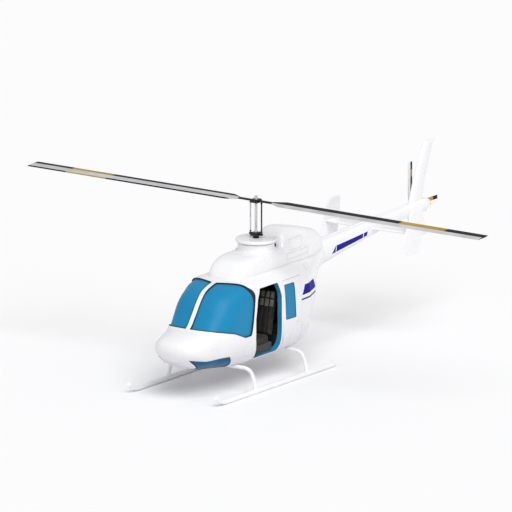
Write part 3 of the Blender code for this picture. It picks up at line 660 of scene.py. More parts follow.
def build_door(place, side, outline, window, body):
    hinge_y, reach = DOORS[place][1:3]
    space = door_slab("space", outline, side, hinge_y, reach + CLEAR, CLEAR, 0)
    light = side_slab("light", window, side, 0.0, 0.02)
    door = slice_of(skin_form, "%s_door_skin_%s" % (place, side), space, wall_form, light)
    discard(light)
    settle(door, body, "%s_door_%s" % (place, side))
    whole_window("%s_window_%s" % (place, side),
                 lambda inset: side_slab("cut", window, side, inset, 0.02),
                 body, "%s_window_%s" % (place, side), DOOR_SEAL)
    return door


for place, side, outline, window, body in DOOR_BODIES:
    door = build_door(place, side, outline, window, body)
    print("door", place, side, "faces", len(door.data.polygons))

# %% [markdown]
# Two hollow cowlings stand on the roof: a low fairing round the mast, and the long cowling over the
# engine, whose front face has the air intake that shows behind the mast collar. Both are lofts like
# the pod. The pod's own form is cut out of them, so they meet the roof without a gap.

# %% Roof cowlings
COWLING_START = 0.36
FAIRING = [
    (-1.14, 0.20, 1.80, 1.90, 1.985, 2.6, 2.0),
    (-1.12, 0.24, 1.80, 1.90, 2.01, 2.8, 2.0),
    (-1.05, 0.34, 1.80, 1.92, 2.08, 3.2, 2.0),
    (-0.95, 0.38, 1.80, 1.95, 2.17, 3.8, 2.0),
    (-0.82, 0.40, 1.80, 1.98, 2.245, 4.4, 2.0),
    (-0.62, 0.41, 1.80, 2.00, 2.295, 5.0, 2.0),
    (-0.40, 0.41, 1.80, 2.02, 2.31, 5.2, 2.0),
    (COWLING_START - JOINT, 0.41, 1.80, 2.02, 2.315, 5.2, 2.0),
]
COWLING = [
    (COWLING_START, 0.36, 1.80, 2.02, 2.36, 3.2, 2.0),
    (0.375, 0.372, 1.80, 2.02, 2.40, 3.2, 2.0),
    (0.46, 0.375, 1.80, 2.02, 2.54, 3.2, 2.0),
    (0.66, 0.375, 1.80, 2.03, 2.62, 3.2, 2.0),
    (1.00, 0.36, 1.80, 2.03, 2.57, 3.2, 2.0),
    (1.40, 0.32, 1.80, 2.03, 2.47, 3.0, 2.0),
    (1.70, 0.26, 1.84, 2.03, 2.38, 2.8, 2.0),
    (1.84, 0.215, 1.86, 2.03, 2.30, 2.6, 2.0),
    (1.95, 0.15, 1.90, 2.03, 2.19, 2.4, 2.0),
    (2.00, 0.10, 1.94, 2.03, 2.13, 2.2, 2.0),
    (2.02, 0.05, 1.98, 2.03, 2.08, 2.2, 2.0),
]
BOOM = [
    (1.952, 0.20, 1.605, 1.85, 2.085, 2.4, 2.2),
    (3.05, 0.165, 1.745, 1.94, 2.12, 2.4, 2.2),
    (4.55, 0.115, 1.915, 2.04, 2.165, 2.4, 2.2),
    (5.56, 0.090, 1.965, 2.08, 2.195, 2.4, 2.2),
    (5.66, 0.072, 1.99, 2.08, 2.170, 2.1, 2.1),
    (5.695, 0.045, 2.02, 2.08, 2.14, 2.0, 2.0),
    (5.705, 0.010, 2.07, 2.08, 2.09, 2.0, 2.0),
]


def moved_aft(rows, shift):
    return [(row[0] + shift,) + row[1:] for row in rows]


def build_fairing():
    fairing = box_loft("fairing_skin", FAIRING, sides=72)
    inner = box_loft("inner", moved_aft(FAIRING, 0.03), 0.03, sides=72, paint=1)
    neck = lathe("neck", [(0.0, 2.1), (0.27, 2.1), (0.27, 2.6), (0.0, 2.6)])
    carve(fairing, "DIFFERENCE", inner, skin_form, neck)
    discard(inner, neck)
    return settle(fairing, "airframe", "roof_fairing")


def build_cowling():
    cowling = box_loft("cowling_skin", COWLING, sides=72)
    inner = box_loft("inner", moved_aft(COWLING[1:-2], 0.03), 0.03, sides=72, paint=1)
    boom = box_loft("boom_space", moved_aft(BOOM, -0.1), 0.0, sides=48)
    mouth = [(-0.198, 2.27), (0.198, 2.27), (0.198, 2.355), (0.12, 2.366), (-0.12, 2.366),
             (-0.198, 2.355)]
    intake = slab("intake", mouth, "Z", 0.0, 0.1, 0.0, 0.012, paint=2)
    intake.data.transform(rotation(90, "X"))
    intake.data.transform(Matrix.Translation((0, COWLING_START + 0.08, 0)))
    carve(cowling, "DIFFERENCE", inner, skin_form, boom, intake)
    discard(inner, boom, intake)
    return settle(cowling, "airframe", "engine_cowling")


print("fairing faces", len(build_fairing().data.polygons))
print("cowling faces", len(build_cowling().data.polygons))
INTAKE_SLATS = 5
for number in range(INTAKE_SLATS):
    slat = brick("intake_slat_%d" % number, (-0.202, -0.012, -0.0015), (0.202, 0.012, 0.0015), 0.001, 2)
    slat.data.transform(Matrix.Translation((0, 0.415, 2.2785 + 0.02 * number)) @ rotation(55, "X"))
    settle(slat, "airframe")

# %% [markdown]
# The collar is a turned piece: a wide flat disc on a neck that flares at its foot. A profile spun
# once round the mast makes all of it, and the two cowlings' outer forms trim its foot. The groove
# under the disc is painted grey: painted shade, for the shadow that the disc casts there.

# %% Mast collar
COLLAR = [(0.05, 2.52), (0.355, 2.52), (0.368, 2.518), (0.377, 2.511), (0.38, 2.50), (0.38, 2.478),
          (0.376, 2.466), (0.362, 2.455), (0.348, 2.446), (0.340, 2.436), (0.338, 2.40), (0.339, 2.365),
          (0.343, 2.345), (0.352, 2.328), (0.364, 2.314), (0.378, 2.306), (0.378, 2.22), (0.28, 2.22),
          (0.28, 2.44), (0.05, 2.44)]
GROOVE_SHADE_BAND = (2.437, 2.466)
collar = lathe("collar_skin", COLLAR, steps=96)
# painted shade: the groove's faces under the disc take the grey, for the disc's shadow
for face in collar.data.polygons:
    if GROOVE_SHADE_BAND[0] < face.center.z < GROOVE_SHADE_BAND[1] and math.hypot(face.center.x, face.center.y) > 0.33:
        face.material_index = SHELL_FINISHES.index(SEAM_AND_SHADE_GREY)
use_up(collar, "DIFFERENCE", box_loft("fairing_space", FAIRING, -0.0005, sides=72),
       box_loft("cowling_space", COWLING, -0.0005, sides=72))
settle(collar, "airframe", "mast_collar")
print("collar faces", len(collar.data.polygons))

# %% [markdown]
# The tail boom tapers to the tail rotor's gearbox. Fins, stabiliser and rotor blades are aerofoils:
# rings of points on a wing section, bridged from root to tip, with small steps that round the tip.

# %% Tail
AEROFOIL = (0.2969, -0.126, -0.3516, 0.2843, -0.1036)
# for each ring round a tip: how far short of it the ring lies, how far the leading and the trailing
# edge draw in, and how much of the thickness is left
TIP_STEPS = ((1.0, 0.0, 0.0, 1.0), (0.3, 0.05, 0.03, 0.75), (0.0, 0.12, 0.06, 0.3))


def wing_ring(centre, span, chord, thick, lead, trail, depth, sides=40):
    """A symmetric wing section, thickest a third of the way back."""
    points = []
    for i in range(sides):
        turn = 2 * math.pi * i / sides
        u = (1 - math.cos(turn)) / 2
        powers = (math.sqrt(u), u, u ** 2, u ** 3, u ** 4)
        v = 5 * sum(share * power for share, power in zip(AEROFOIL, powers))
        side = 1 if turn <= math.pi else -1
        points.append(centre + chord * (lead + (trail - lead) * u) + thick * (side * v * depth))
    return points


def wing_form(name, stations, origin, span, chord, thick, finishes=SHELL_FINISHES, tip=0.012):
    """Stations are (place on the span, leading edge, trailing edge, thickness), up to the tip."""
    rows = list(stations)
    place, lead, trail, depth = rows.pop()
    out = math.copysign(tip, place - rows[-1][0])
    middle = (lead + trail) / 2
    for short, lead_in, trail_in, left in TIP_STEPS:
        rows.append((place - out * short, lead + (middle - lead) * lead_in,
                     trail + (middle - trail) * trail_in, depth * left))
    rings = [wing_ring(Vector(origin) + span * p, span, chord, thick, a, b, d) for p, a, b, d in rows]
    return ring_loft(name, rings, 0, finishes)


X, Y, Z = Vector((1, 0, 0)), Vector((0, 1, 0)), Vector((0, 0, 1))
boom_skin = box_loft("boom_skin", BOOM, sides=64, step=0.12)
boom_trim = copy_of(boom_skin, "boom_trim")
settle(boom_skin, "airframe", "tail_boom")
print("boom faces", len(boom_skin.data.polygons))

# %% [markdown]
# The upright fin is swept back and stands over a smaller keel fin. The stabiliser carries a plate at
# each end. Flat plates would do from far away, but the round leading edge of a wing section catches
# the light. The tables give, for each height, the places of the leading and trailing edges.

# %% Fins and stabiliser
TAIL_FIN = [(2.10, 5.00, 5.46), (2.54, 5.16, 5.57), (3.18, 5.46, 5.83), (3.27, 5.56, 5.90)]
VENTRAL_FIN = [(2.04, 4.96, 5.45), (1.70, 5.14, 5.585), (1.50, 5.27, 5.64)]
ENDPLATE = [(1.58, 3.60, 3.98), (1.81, 3.43, 4.06), (2.25, 3.645, 4.13), (2.38, 3.70, 4.13),
            (2.42, 3.76, 4.11)]
STABILISER_Z, STABILISER_SPAN = 2.0, 0.92
fin = wing_form("tail_fin_skin", [(z, a, b, 0.075 if z < 3.2 else 0.05) for z, a, b in TAIL_FIN],
                (0, 0, 0), Z, Y, X)
keel = wing_form("ventral_fin_skin", [(z, a, b, 0.07 if z > 1.55 else 0.04) for z, a, b in VENTRAL_FIN],
                 (0, 0, 0), Z, Y, X)
for piece, node in ((fin, "tail_fin"), (keel, "ventral_fin")):
    settle(piece, "airframe", node)
for side, sign in SIDES.items():
    rows = [(0.06 * sign, 3.58, 4.12, 0.07), ((STABILISER_SPAN - 0.0155) * sign, 3.64, 4.08, 0.055)]
    plane = wing_form("stabiliser_skin_" + side, rows, (0, 0, STABILISER_Z), X, Y, Z)
    settle(plane, "airframe", "stabiliser_" + side)
    rows = [(z, a, b, 0.03) for z, a, b in ENDPLATE]
    plate = wing_form("endplate_skin_" + side, rows, (STABILISER_SPAN * sign, 0, 0), Z, Y, X)
    settle(plate, "airframe", "endplate_" + side)
gearbox = brick("tail_gearbox_case", (-0.21, 5.44, 1.93), (0.02, 5.62, 2.07), 0.022)
settle(gearbox, "airframe", "tail_gearbox")
print("tail pieces made")

# %% [markdown]
# The undercarriage is two long tubes with turned-up toes, held by two bowed cross tubes. A toe is an
# arc of 0.6 m, and the bow follows a smooth curve near a few points. A curve with a round bevel
# makes such a tube in one step, with the same thickness all along.

# %% Undercarriage
SKID_X, SKID_RADIUS, CROSS_RADIUS, CROSS_Z = 0.963, 0.047, 0.035, 0.456
CROSS_ROWS = {"cross_tube_front": -1.435, "cross_tube_rear": 0.235}
TOE_Y, TOE_REACH, SKID_END_Y = -2.36, 0.60, 1.12
toe = [(TOE_Y + (TOE_REACH - SKID_RADIUS) * math.cos(math.radians(a)),
        TOE_REACH + (TOE_REACH - SKID_RADIUS) * math.sin(math.radians(a))) for a in range(230, 271, 4)]
for side, sign in SIDES.items():
    route = [(SKID_X * sign, y, z) for y, z in toe] + [(SKID_X * sign, SKID_END_Y, SKID_RADIUS)]
    settle(bar("skid_tube_" + side, route, SKID_RADIUS, 32, 0, (TUBE_WHITE,), False), "airframe",
           "skid_" + side)
for name, y in CROSS_ROWS.items():
    half = [(SKID_X, 0.075), (0.935, 0.21), (0.905, 0.31), (0.87, 0.385), (0.82, 0.430), (0.74, 0.453),
            (0.60, CROSS_Z), (0.30, CROSS_Z)]
    route = [(x, y, z) for x, z in half] + [(-x, y, z) for x, z in reversed(half)]
    settle(bar(name + "_bow", route, CROSS_RADIUS, 28, 0, (TUBE_WHITE,)), "airframe", name)
print("undercarriage made")

# %% [markdown]
# The rotor head is plain: a steel mast with a black block at its foot and another under the blades,
# two pitch rods between them, and a thin yoke out to the blade roots. The head is drawn square to
# the aircraft and then turned by a small angle, because the blades stand slightly askew.

# %% Rotor head
HUB_Z, ROTOR_RADIUS, BLADE_ROOT, BLADE_CHORD, ROD_X = 3.215, 5.08, 0.38, 0.33, 0.125
ROTOR_REST = rotation(-1.84, "Z")
HEAD_FINISHES = (BLACK, STEEL, WHITE, RUBBER)
BLADE_FINISHES = (BLADE_GREY, BLADE_BLACK, BLADE_YELLOW, STEEL)
TAIL_BLADE_FINISHES = (WHITE, BLADE_BLACK, BLADE_YELLOW, STEEL)


def turn_to_rest(piece):
    piece.data.transform(ROTOR_REST)
    return piece


MAST = [(0.0, 3.310), (0.012, 3.310), (0.016, 3.304), (0.03, 3.302), (0.03, 3.252), (0.040, 3.2475),
        (0.025, 3.2465), (0.025, 2.66), (0.034, 2.655), (0.034, 2.625), (0.025, 2.62), (0.025, 2.30),
        (0.0, 2.30)]
mast_tube = lathe("mast_tube", MAST, steps=48, paint=1, finishes=HEAD_FINISHES)
settle(mast_tube, "main_rotor", "mast")
# name, node, the block's bottom and top, and the arm's reach, half width, bottom and top
HEAD_BLOCKS = (("hub_block", "rotor_hub", 3.181, 3.246, BLADE_ROOT - 0.0003, 0.03, 3.20, 3.23),
               ("swash_block", "drive_block", 2.56, 2.62, 0.145, 0.02, 2.57, 2.61))
for name, node, low, high, reach, width, under, over in HEAD_BLOCKS:
    block = brick(name, (-0.079, -0.079, low), (0.079, 0.079, high), 0.006, finishes=HEAD_FINISHES)
    arm = brick("arm", (-reach, -width, under), (reach, width, over), 0.004, finishes=HEAD_FINISHES)
    hole = lathe("hole", [(0, 2), (0.0255, 2), (0.0255, 4), (0, 4)], steps=48, finishes=HEAD_FINISHES)
    use_up(use_up(block, "UNION", arm), "DIFFERENCE", hole)
    settle(turn_to_rest(block), "main_rotor", node)
for side, sign in SIDES.items():
    rod = bar("pitch_link_" + side, [(ROD_X * sign, 0, 2.6103), (ROD_X * sign, 0, 3.1997)], 0.014, 20,
              0 if sign > 0 else 1, HEAD_FINISHES, smooth=False)
    settle(turn_to_rest(rod), "main_rotor", "pitch_rod_" + side)
print("rotor head made")

# %% [markdown]
# A rotor blade is one wing section carried out to its square tip. Its paint follows lines along and
# across it, so the mesh is cut along those lines and the faces between them are painted. In the
# photograph the port blade has one broad dark band and the starboard blade two, so each has its own
# bands. The yellow marks start and end at shares of the rotor's radius.

# %% Rotor blades


def paint_blade(piece, span, chord, centre, bands, marks, tip=9.0):
    """Cut the skin along the bands (on the chord) and marks (on the span), and paint between them.

    What lies beyond tip, the end cap, is dark."""
    work = bmesh.new()
    work.from_mesh(piece.data)
    for axis, places in ((chord, bands), (span, marks)):
        for place in places:
            bmesh.ops.bisect_plane(work, geom=[*work.verts, *work.edges, *work.faces], dist=1e-6,
                                   plane_co=Vector(centre) + axis * place, plane_no=axis)
    for face in work.faces:
        spot = face.calc_center_median() - Vector(centre)
        across, along = spot.dot(chord), spot.dot(span)
        if along > tip:
            face.material_index = 1
        elif across < bands[0] or across > bands[-1]:
            marked = any(a < along < b for a, b in zip(marks[::2], marks[1::2]))
            face.material_index = 2 if marked else 1
        else:
            face.material_index = 0
    work.to_mesh(piece.data)
    work.free()


tilt = math.radians(4.0)
aft = Vector((0, math.cos(tilt), math.sin(tilt)))
thick = Vector((0, -math.sin(tilt), math.cos(tilt)))
half = BLADE_CHORD / 2
BLADE_BANDS = {"port": (-0.200, -0.015), "starboard": (-0.125, 0.045)}
BLADE_MARKS = {"port": (0.63, 0.83), "starboard": (0.65, 0.83)}
rows = [(BLADE_ROOT, 0.06, -0.06, 0.030), (0.60, half, -half, 0.030),
        (ROTOR_RADIUS, half, -half, 0.024)]
for side, sign in SIDES.items():
    span = X * sign
    blade = wing_form("main_blade_skin_" + side, rows, (0, 0, HUB_Z), span, aft * sign, thick,
                      BLADE_FINISHES, 0.006)
    paint_blade(blade, span, aft, (0, 0, HUB_Z), BLADE_BANDS[side],
                [share * ROTOR_RADIUS for share in BLADE_MARKS[side]], ROTOR_RADIUS - 0.008)
    settle(turn_to_rest(blade), "main_rotor", "main_blade_" + side)
print("main blades made")

# %% [markdown]
# The tail rotor stands on the starboard side of the boom: two crossed pairs of blades, one behind the
# other, on a small steel hub. A pair is one wing form from tip to tip with a hole for the hub, and it
# is painted with the same helper.

# %% Tail rotor
TAIL_AXIS = Vector((-0.28, 5.53, 1.99))
TAIL_RADIUS = 0.85
rows = [(-TAIL_RADIUS, -0.07, 0.07, 0.016), (-0.20, -0.07, 0.07, 0.02), (-0.10, -0.05, 0.05, 0.03),
        (0.10, -0.05, 0.05, 0.03), (0.20, -0.07, 0.07, 0.02), (TAIL_RADIUS, -0.07, 0.07, 0.016)]
for name, span, chord, shift in (("upright", Z, Y, -0.02), ("level", Y, Z, 0.02)):
    place = TAIL_AXIS + X * shift
    blade = wing_form("tail_blade_pair_" + name, rows, place, span, chord, X, TAIL_BLADE_FINISHES,
                      0.004)
    hole = lathe("hole", [(0, -0.2), (0.0355, -0.2), (0.0355, 0.2), (0, 0.2)], TAIL_AXIS, 48, 0,
                 TAIL_BLADE_FINISHES, rotation(90, "Y"))
    use_up(blade, "DIFFERENCE", hole)
    marks = [a * TAIL_RADIUS for a in (-0.83, -0.67, 0.67, 0.83)]
    paint_blade(blade, span, chord, place, (-0.0695, 0.0), marks)
    settle(blade, "tail_rotor", "tail_blades_" + name)
TAIL_BOSS = [(0.0, 0.062), (0.028, 0.062), (0.035, 0.055), (0.035, -0.045), (0.0, -0.045)]
tail_hub = lathe("tail_hub_boss", TAIL_BOSS, TAIL_AXIS, 48, 1, HEAD_FINISHES, rotation(-90, "Y"))
settle(tail_hub, "tail_rotor", "tail_rotor_hub")
print("tail rotor made")

# %% [markdown]
# Through the open doorway the eye falls on dark cloth. Each cushion starts as a block, is remeshed
# and blown up a little by a cloth simulation, and its seams are pressed in afterwards: squares at the
# top of a back, upright pleats below.

# %% Cloth and carpet


def cloth_finish(name, light, dark, thread, sheen):
    """A woven cloth: two crossed waves make the threads, and a noise makes the wear."""
    made = finish(name, light, dark, (0.75, 0.92), 700, 0.0006, 9.0, Sheen_Weight=sheen,
                  Sheen_Roughness=0.4)
    tree = made.node_tree
    weave = add_node(tree, "Math")
    weave.operation = "MAXIMUM"
    for number, direction in enumerate(("X", "Z")):
        wave = add_node(tree, "TexWave", Scale=thread, Distortion=0.6)
        wave.bands_direction = direction
        join(tree, (node_of(made, "TEX_COORD"), "Object", wave, "Vector"), (wave, "Fac", weave, number))
    join(tree, (weave, 0, node_of(made, "BUMP"), "Height"))
    return made


# partly painted light: the olive quilt is a lighter copy of the dark seat cloth, for the doorway's
# light on the upper backs
QUILT = cloth_finish("olive_quilt", (0.27, 0.245, 0.18), (0.13, 0.118, 0.085), 130, 0.3)
PLEATS = cloth_finish("dark_pleats", (0.024, 0.022, 0.018), (0.010, 0.009, 0.007), 130, 0.18)
CARPET = finish("grey_carpet", (0.046, 0.049, 0.049), (0.030, 0.032, 0.032), (0.85, 1.0), 900, 0.004,
                30.0, Sheen_Weight=0.2)
PAD_FINISHES = (PLEATS, QUILT)
print("cloths ready")

# %% [markdown]
# The swelling is held to PUFF, so a cushion keeps the size it was drawn with. The channels are
# painted with the pleats' dark cloth as painted shade in the creases, and the squares between them
# have the olive cloth, a lighter copy of the seat cloth that stands partly for painted light from the
# doorway.

# %% Cushions
PUFF = 0.016
CLOTH_FRAMES = 20
FLOOR_TOP = 0.5195


def blown_up(name, size):
    """A block of this size, remeshed and swollen by cloth pressure, centred on the origin."""
    half = Vector(size) / 2 - Vector((PUFF, PUFF, PUFF)) * 0.5
    blank = brick(name, -half, half, min(half) * 0.45, finishes=PAD_FINISHES)
    voxels = blank.modifiers.new("even", "REMESH")
    voxels.mode = "VOXEL"
    voxels.voxel_size = 0.009
    mesh = mesh_now(blank)
    blank.modifiers.clear()
    blank.data = mesh
    rest = [v.co.copy() for v in mesh.vertices]
    cloth = blank.modifiers.new("swell", "CLOTH")
    cloth.settings.use_pressure = True
    cloth.settings.uniform_pressure_force = 4.0
    cloth.settings.quality = 3
    cloth.settings.effector_weights.gravity = 0.0
    cloth.point_cache.frame_end = CLOTH_FRAMES
    for moment in range(1, CLOTH_FRAMES + 1):
        scene.frame_set(moment)
    swollen = blank.evaluated_get(bpy.context.evaluated_depsgraph_get()).to_mesh()
    moved = [v.co.copy() for v in swollen.vertices]
    blank.modifiers.clear()
    scene.frame_set(1)
    for vert, start, end in zip(mesh.vertices, rest, moved):
        push = end - start
        vert.co = start + push * min(1.0, PUFF / max(push.length, 1e-9))
    return blank


def press_seams(pad, face, across, along, split, depth=0.020, width=0.013):
    """Press sewn channels into one side of a pad. Beyond split they cross and make squares.

    Split itself is a seam. Depth and width are those of a channel."""
    up = 2 if abs(face.y) > 0.5 else 1
    for vert in pad.data.vertices:
        if vert.normal.dot(face) < 0.3:
            continue
        crossing = [at for at in along if vert.co[up] > split - 0.03]
        near = [abs(vert.co.x - at) for at in across]
        near += [abs(vert.co[up] - at) for at in crossing + [split]]
        vert.co -= face * depth * math.exp(-(min(near) / width) ** 2)
    # painted shade: faces in the channels get the dark cloth (index 0) as the creases' shade; the
    # squares get the olive
    for poly in pad.data.polygons:
        spot = poly.center
        if spot[up] > split and poly.normal.dot(face) > 0.3:
            near = [abs(spot.x - at) for at in across]
            near += [abs(spot[up] - at) for at in along + (split,)]
            poly.material_index = 1 if min(near) > 0.9 * width else 0


def place_pad(source, name, lean, where, node=None, scale=(1, 1, 1)):
    """A copy of a simulated pad, leant back and put in its place."""
    pad = copy_of(source, name)
    pad.data.transform(Matrix.Translation(where) @ rotation(-lean, "X") @ Matrix.Diagonal((*scale, 1)))
    settle(pad, "airframe", node, sharp=180.0)
    return pad


print("cushion helpers ready")

# %% [markdown]
# The two front seats are carpeted boxes with a thick cushion and a tall back that leans. The bench
# behind them has three narrower places. Copies of two simulated pads are scaled to fit all of them,
# because the simulation is the slowest step of this lesson.

# %% Seats and bench
AHEAD, UP = Vector((0, -1, 0)), Vector((0, 0, 1))
PLEAT_LINES = (-0.1075, 0.0, 0.1075)
flat_pad = blown_up("flat_pad", (0.43, 0.53, 0.15))
press_seams(flat_pad, UP, PLEAT_LINES, (), 9.0, 0.012)
tall_pad = blown_up("tall_pad", (0.43, 0.115, 0.86))
press_seams(tall_pad, AHEAD, PLEAT_LINES, (0.25, 0.40), 0.09)
for side, sign in SIDES.items():
    near, far = sorted((0.08 * sign, 0.49 * sign))
    base = brick("seat_box_" + side, (near, -0.80, FLOOR_TOP), (far, -0.21, 0.672), 0.012, 0, (CARPET,))
    settle(base, "airframe")
    place_pad(flat_pad, "seat_cushion_" + side, 0, (0.285 * sign, -0.555, 0.748))
    place_pad(tall_pad, "seat_back_" + side, 12.9, (0.285 * sign, -0.137, 1.202), "seat_" + side)
bench_box = brick("bench_box", (-0.54, 0.04, FLOOR_TOP), (0.54, 0.39, 0.750), 0.012, 0, (CARPET,))
settle(bench_box, "airframe")
for number, x in enumerate((-0.367, 0.0, 0.367)):
    place_pad(flat_pad, "bench_cushion_%d" % number, 0, (x, 0.20, 0.825), None, (0.84, 0.68, 1.0))
    place_pad(tall_pad, "bench_back_%d" % number, 4.6, (x, 0.375, 1.20),
              "rear_bench" if number == 1 else None, (0.84, 0.85, 0.70))
discard(flat_pad, tall_pad)
print("cushions placed")

# %% [markdown]
# The rest of the cabin is plain: carpet, a dark bulkhead, an instrument panel with round dials under a
# hood, two sticks with grips, and the painted lips that frame the doorways from inside. The floor
# and the bulkhead keep the frame's own shapes, which are right, and only get a better finish.

# %% Cabin fittings


def repaint(node, material):
    """A CAD piece whose shape is right keeps it and gets a better finish."""
    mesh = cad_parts[node].data
    mesh.materials.clear()
    mesh.materials.append(material)


repaint("cabin_floor", CARPET)
repaint("rear_bulkhead", PLEATS)
repaint("engine_block", STEEL)
repaint("main_gearbox", STEEL)
PANEL = [(-1.95, FLOOR_TOP), (-1.70, FLOOR_TOP), (-1.68, 0.85), (-1.62, 1.15), (-1.66, 1.19),
         (-1.74, 1.20), (-1.95, 1.10)]
DIAL = [(0.0, -0.006), (0.046, -0.006), (0.046, 0.010), (0.052, 0.012), (0.056, 0.010), (0.056, -0.010),
        (0.0, -0.010)]
GRIP = [(0.0, 0.065), (0.012, 0.063), (0.020, 0.052), (0.022, 0.035), (0.018, 0.02), (0.021, 0.0),
        (0.019, -0.03), (0.021, -0.05), (0.017, -0.062), (0.0, -0.064)]
panel = slab("panel_case", PANEL, "X", -0.20, 0.30, 0.0, 0.012, 1)
use_up(panel, "INTERSECT", pod_form("room", WALL + 0.012))
settle(panel, "airframe", "instrument_panel")
for number in range(6):
    x, height = -0.10 + 0.15 * (number % 3), 0.92 + 0.14 * (number // 3)
    y = -1.68 + (height - 0.85) * 0.2
    dial = lathe("dial_%d" % number, DIAL, (x, y, height), 48, 0, (BLACK, STEEL), rotation(-101.3, "X"))
    settle(dial, "airframe")
for side, sign in SIDES.items():
    x = 0.29 * sign
    route = [(x, -1.04, FLOOR_TOP), (x, -1.04, 0.70), (x, -0.98, 0.86), (x, -0.96, 1.0)]
    stick = bar("stick_" + side, route, 0.013, 16, 0, (BLACK, STEEL))
    settle(stick, "airframe", "cyclic_" + side)
    grip = lathe("grip_" + side, GRIP, (x, -0.968, 1.045), 32, 0, (RUBBER, STEEL), rotation(14, "X"))
    settle(grip, "airframe")
lip_form = pod_form("lip_form", WALL + 0.0005, 2)
sill_form = pod_form("sill_form", 0.0005, 2)
for side, sign in SIDES.items():
    low, high = sorted((0.3 * sign, 1.0 * sign))
    lip_back = copy_of(lip_form, "lip_back")
    lip_back.data.transform(Matrix.Translation((-0.03 * sign, 0, 0)))
    region = brick("region", (low, -0.30, DOOR_BOTTOM + 0.001), (high, -0.165, DOOR_TOP - 0.001), 0, 2)
    lip = slice_of(lip_form, "doorway_lip_" + side, region, lip_back, doorways["front", side])
    discard(lip_back)
    settle(lip, "airframe")
    strip = brick("strip", (low, NOSE_JOINT_Y, DOOR_BOTTOM), (high, -0.236, DOOR_BOTTOM + 0.002), 0, 2)
    settle(slice_of(sill_form, "doorway_sill_" + side, strip, wall_form), "airframe")
discard(lip_form, sill_form)
print("cabin fitted")

# %% [markdown]
# Small fittings make the size of the aircraft readable. Doors get hinge knuckles and handles; the
# skids get clamps at the cross tubes and a dark cap at the aft end. Turned parts that are the same
# above and below their middle are drawn as the upper half of a profile.

# %% Door and skid fittings


def both_ways(profile):
    """The profile and its mirror image below z = 0."""
    return profile + [(r, -z) for r, z in reversed(profile) if z]


KNUCKLE = both_ways([(0.0, 0.045), (0.006, 0.045), (0.008, 0.042), (0.008, 0.001), (0.007, 0.0)])
SLEEVE = both_ways([(SKID_RADIUS + 0.0005, 0.055), (SKID_RADIUS + 0.0045, 0.053),
                    (SKID_RADIUS + 0.0055, 0.048)])
SKID_CAP = [(0.0, 0.014), (0.020, 0.012), (0.036, 0.006), (0.0465, 0.0005), (0.0, 0.0005)]
LENGTHWISE = rotation(-90, "X")
for place, side, outline, window, body in DOOR_BODIES:
    sign = SIDES[side]
    hinge_y = DOORS[place][1]
    for number, z in enumerate((0.74, 1.50)):
        knuckle = lathe("hinge_%s_%s_%d" % (place, side, number), KNUCKLE,
                        (HINGE_X * sign, hinge_y, z), 24)
        settle(knuckle, body)
    far = hinge_y + DOORS[place][2] - 0.07
    x = 0.709 * sign
    handle = brick("handle_%s_%s" % (place, side), (min(x, x + 0.012 * sign), far - 0.11, 0.985),
                   (max(x, x + 0.012 * sign), far, 1.012), 0.005)
    settle(handle, body)
for side, sign in SIDES.items():
    x = SKID_X * sign
    for name, y in CROSS_ROWS.items():
        sleeve = lathe("clamp_%s_%s" % (name.removeprefix("cross_tube_"), side), SLEEVE,
                       (x, y, SKID_RADIUS), 48, 0, (TUBE_WHITE,), LENGTHWISE)
        below = brick("below", (x - 0.1, y - 0.1, -0.1), (x + 0.1, y + 0.1, 0.0015))
        use_up(sleeve, "DIFFERENCE", below)
        settle(sleeve, "airframe")
    cap = lathe("skid_cap_aft_" + side, SKID_CAP, (x, SKID_END_Y, SKID_RADIUS), 48, 3, SHELL_FINISHES,
                LENGTHWISE)
    settle(cap, "airframe")
print("door and skid fittings made")

# %% [markdown]
# The rotor head gets a ribbed rubber boot at the mast's foot, a ball at each end of a pitch rod, and
# six-sided bolts. Bolts and balls turn with the rotor.

# %% Rotor head fittings


def bolt_head(radius, height):
    """The profile of a six-sided bolt head with a bevelled rim."""
    return [(0.0, height), (radius - 0.002, height - 0.001), (radius, height - 0.004), (radius, 0.0),
            (0.0, 0.0)]


MAST_BOOT = [(0.030, 2.5590), (0.046, 2.5590), (0.050, 2.553), (0.046, 2.547), (0.055, 2.541),
             (0.051, 2.535), (0.062, 2.5205), (0.030, 2.5205)]
ROD_BALL = both_ways([(0.0, 0.017), (0.012, 0.015), (0.019, 0.007), (0.0205, 0.0)])
settle(lathe("mast_boot", MAST_BOOT, steps=48, paint=3), "airframe")
for side, sign in SIDES.items():
    for label, z in (("low", 2.632), ("high", 3.178)):
        ball = lathe("rod_end_%s_%s" % (side, label), ROD_BALL, (ROD_X * sign, 0, z), 24, 0,
                     HEAD_FINISHES)
        settle(turn_to_rest(ball), "main_rotor")
    for number, x in enumerate((0.30, 0.352)):
        bolt = lathe("root_bolt_%s_%d" % (side, number), bolt_head(0.009, 0.012),
                     (x * sign, 0, 3.2302), 6, 1, HEAD_FINISHES)
        settle(turn_to_rest(bolt), "main_rotor")
for number in range(4):
    turn = math.radians(45 + 90 * number)
    spot = (0.074 * math.cos(turn), 0.074 * math.sin(turn), 3.2462)
    bolt = lathe("hub_bolt_%d" % number, bolt_head(0.012, 0.010), spot, 6, 1, HEAD_FINISHES)
    settle(turn_to_rest(bolt), "main_rotor")
print("rotor head fitted")

# %% [markdown]
# Bands and rivets hold the sheets of the boom together. A band is a slice of a form 0.9 mm larger
# than the boom, with the boom itself cut out, so it follows the boom's section exactly. Rivet heads
# are flat cones set square to the skin. They are real geometry, because a bump wouldn't show from
# the side.

# %% Bands and rivets
BOOM_BANDS = (2.35, 3.30, 4.45, 5.30)
band_form = box_loft("band_form", BOOM, -0.0009, sides=64, step=0.12)
for number, y in enumerate(BOOM_BANDS):
    region = brick("region", (-1, y - 0.012, 1), (1, y + 0.012, 3))
    settle(slice_of(band_form, "boom_band_%d" % number, region, boom_trim), "airframe")
discard(band_form)


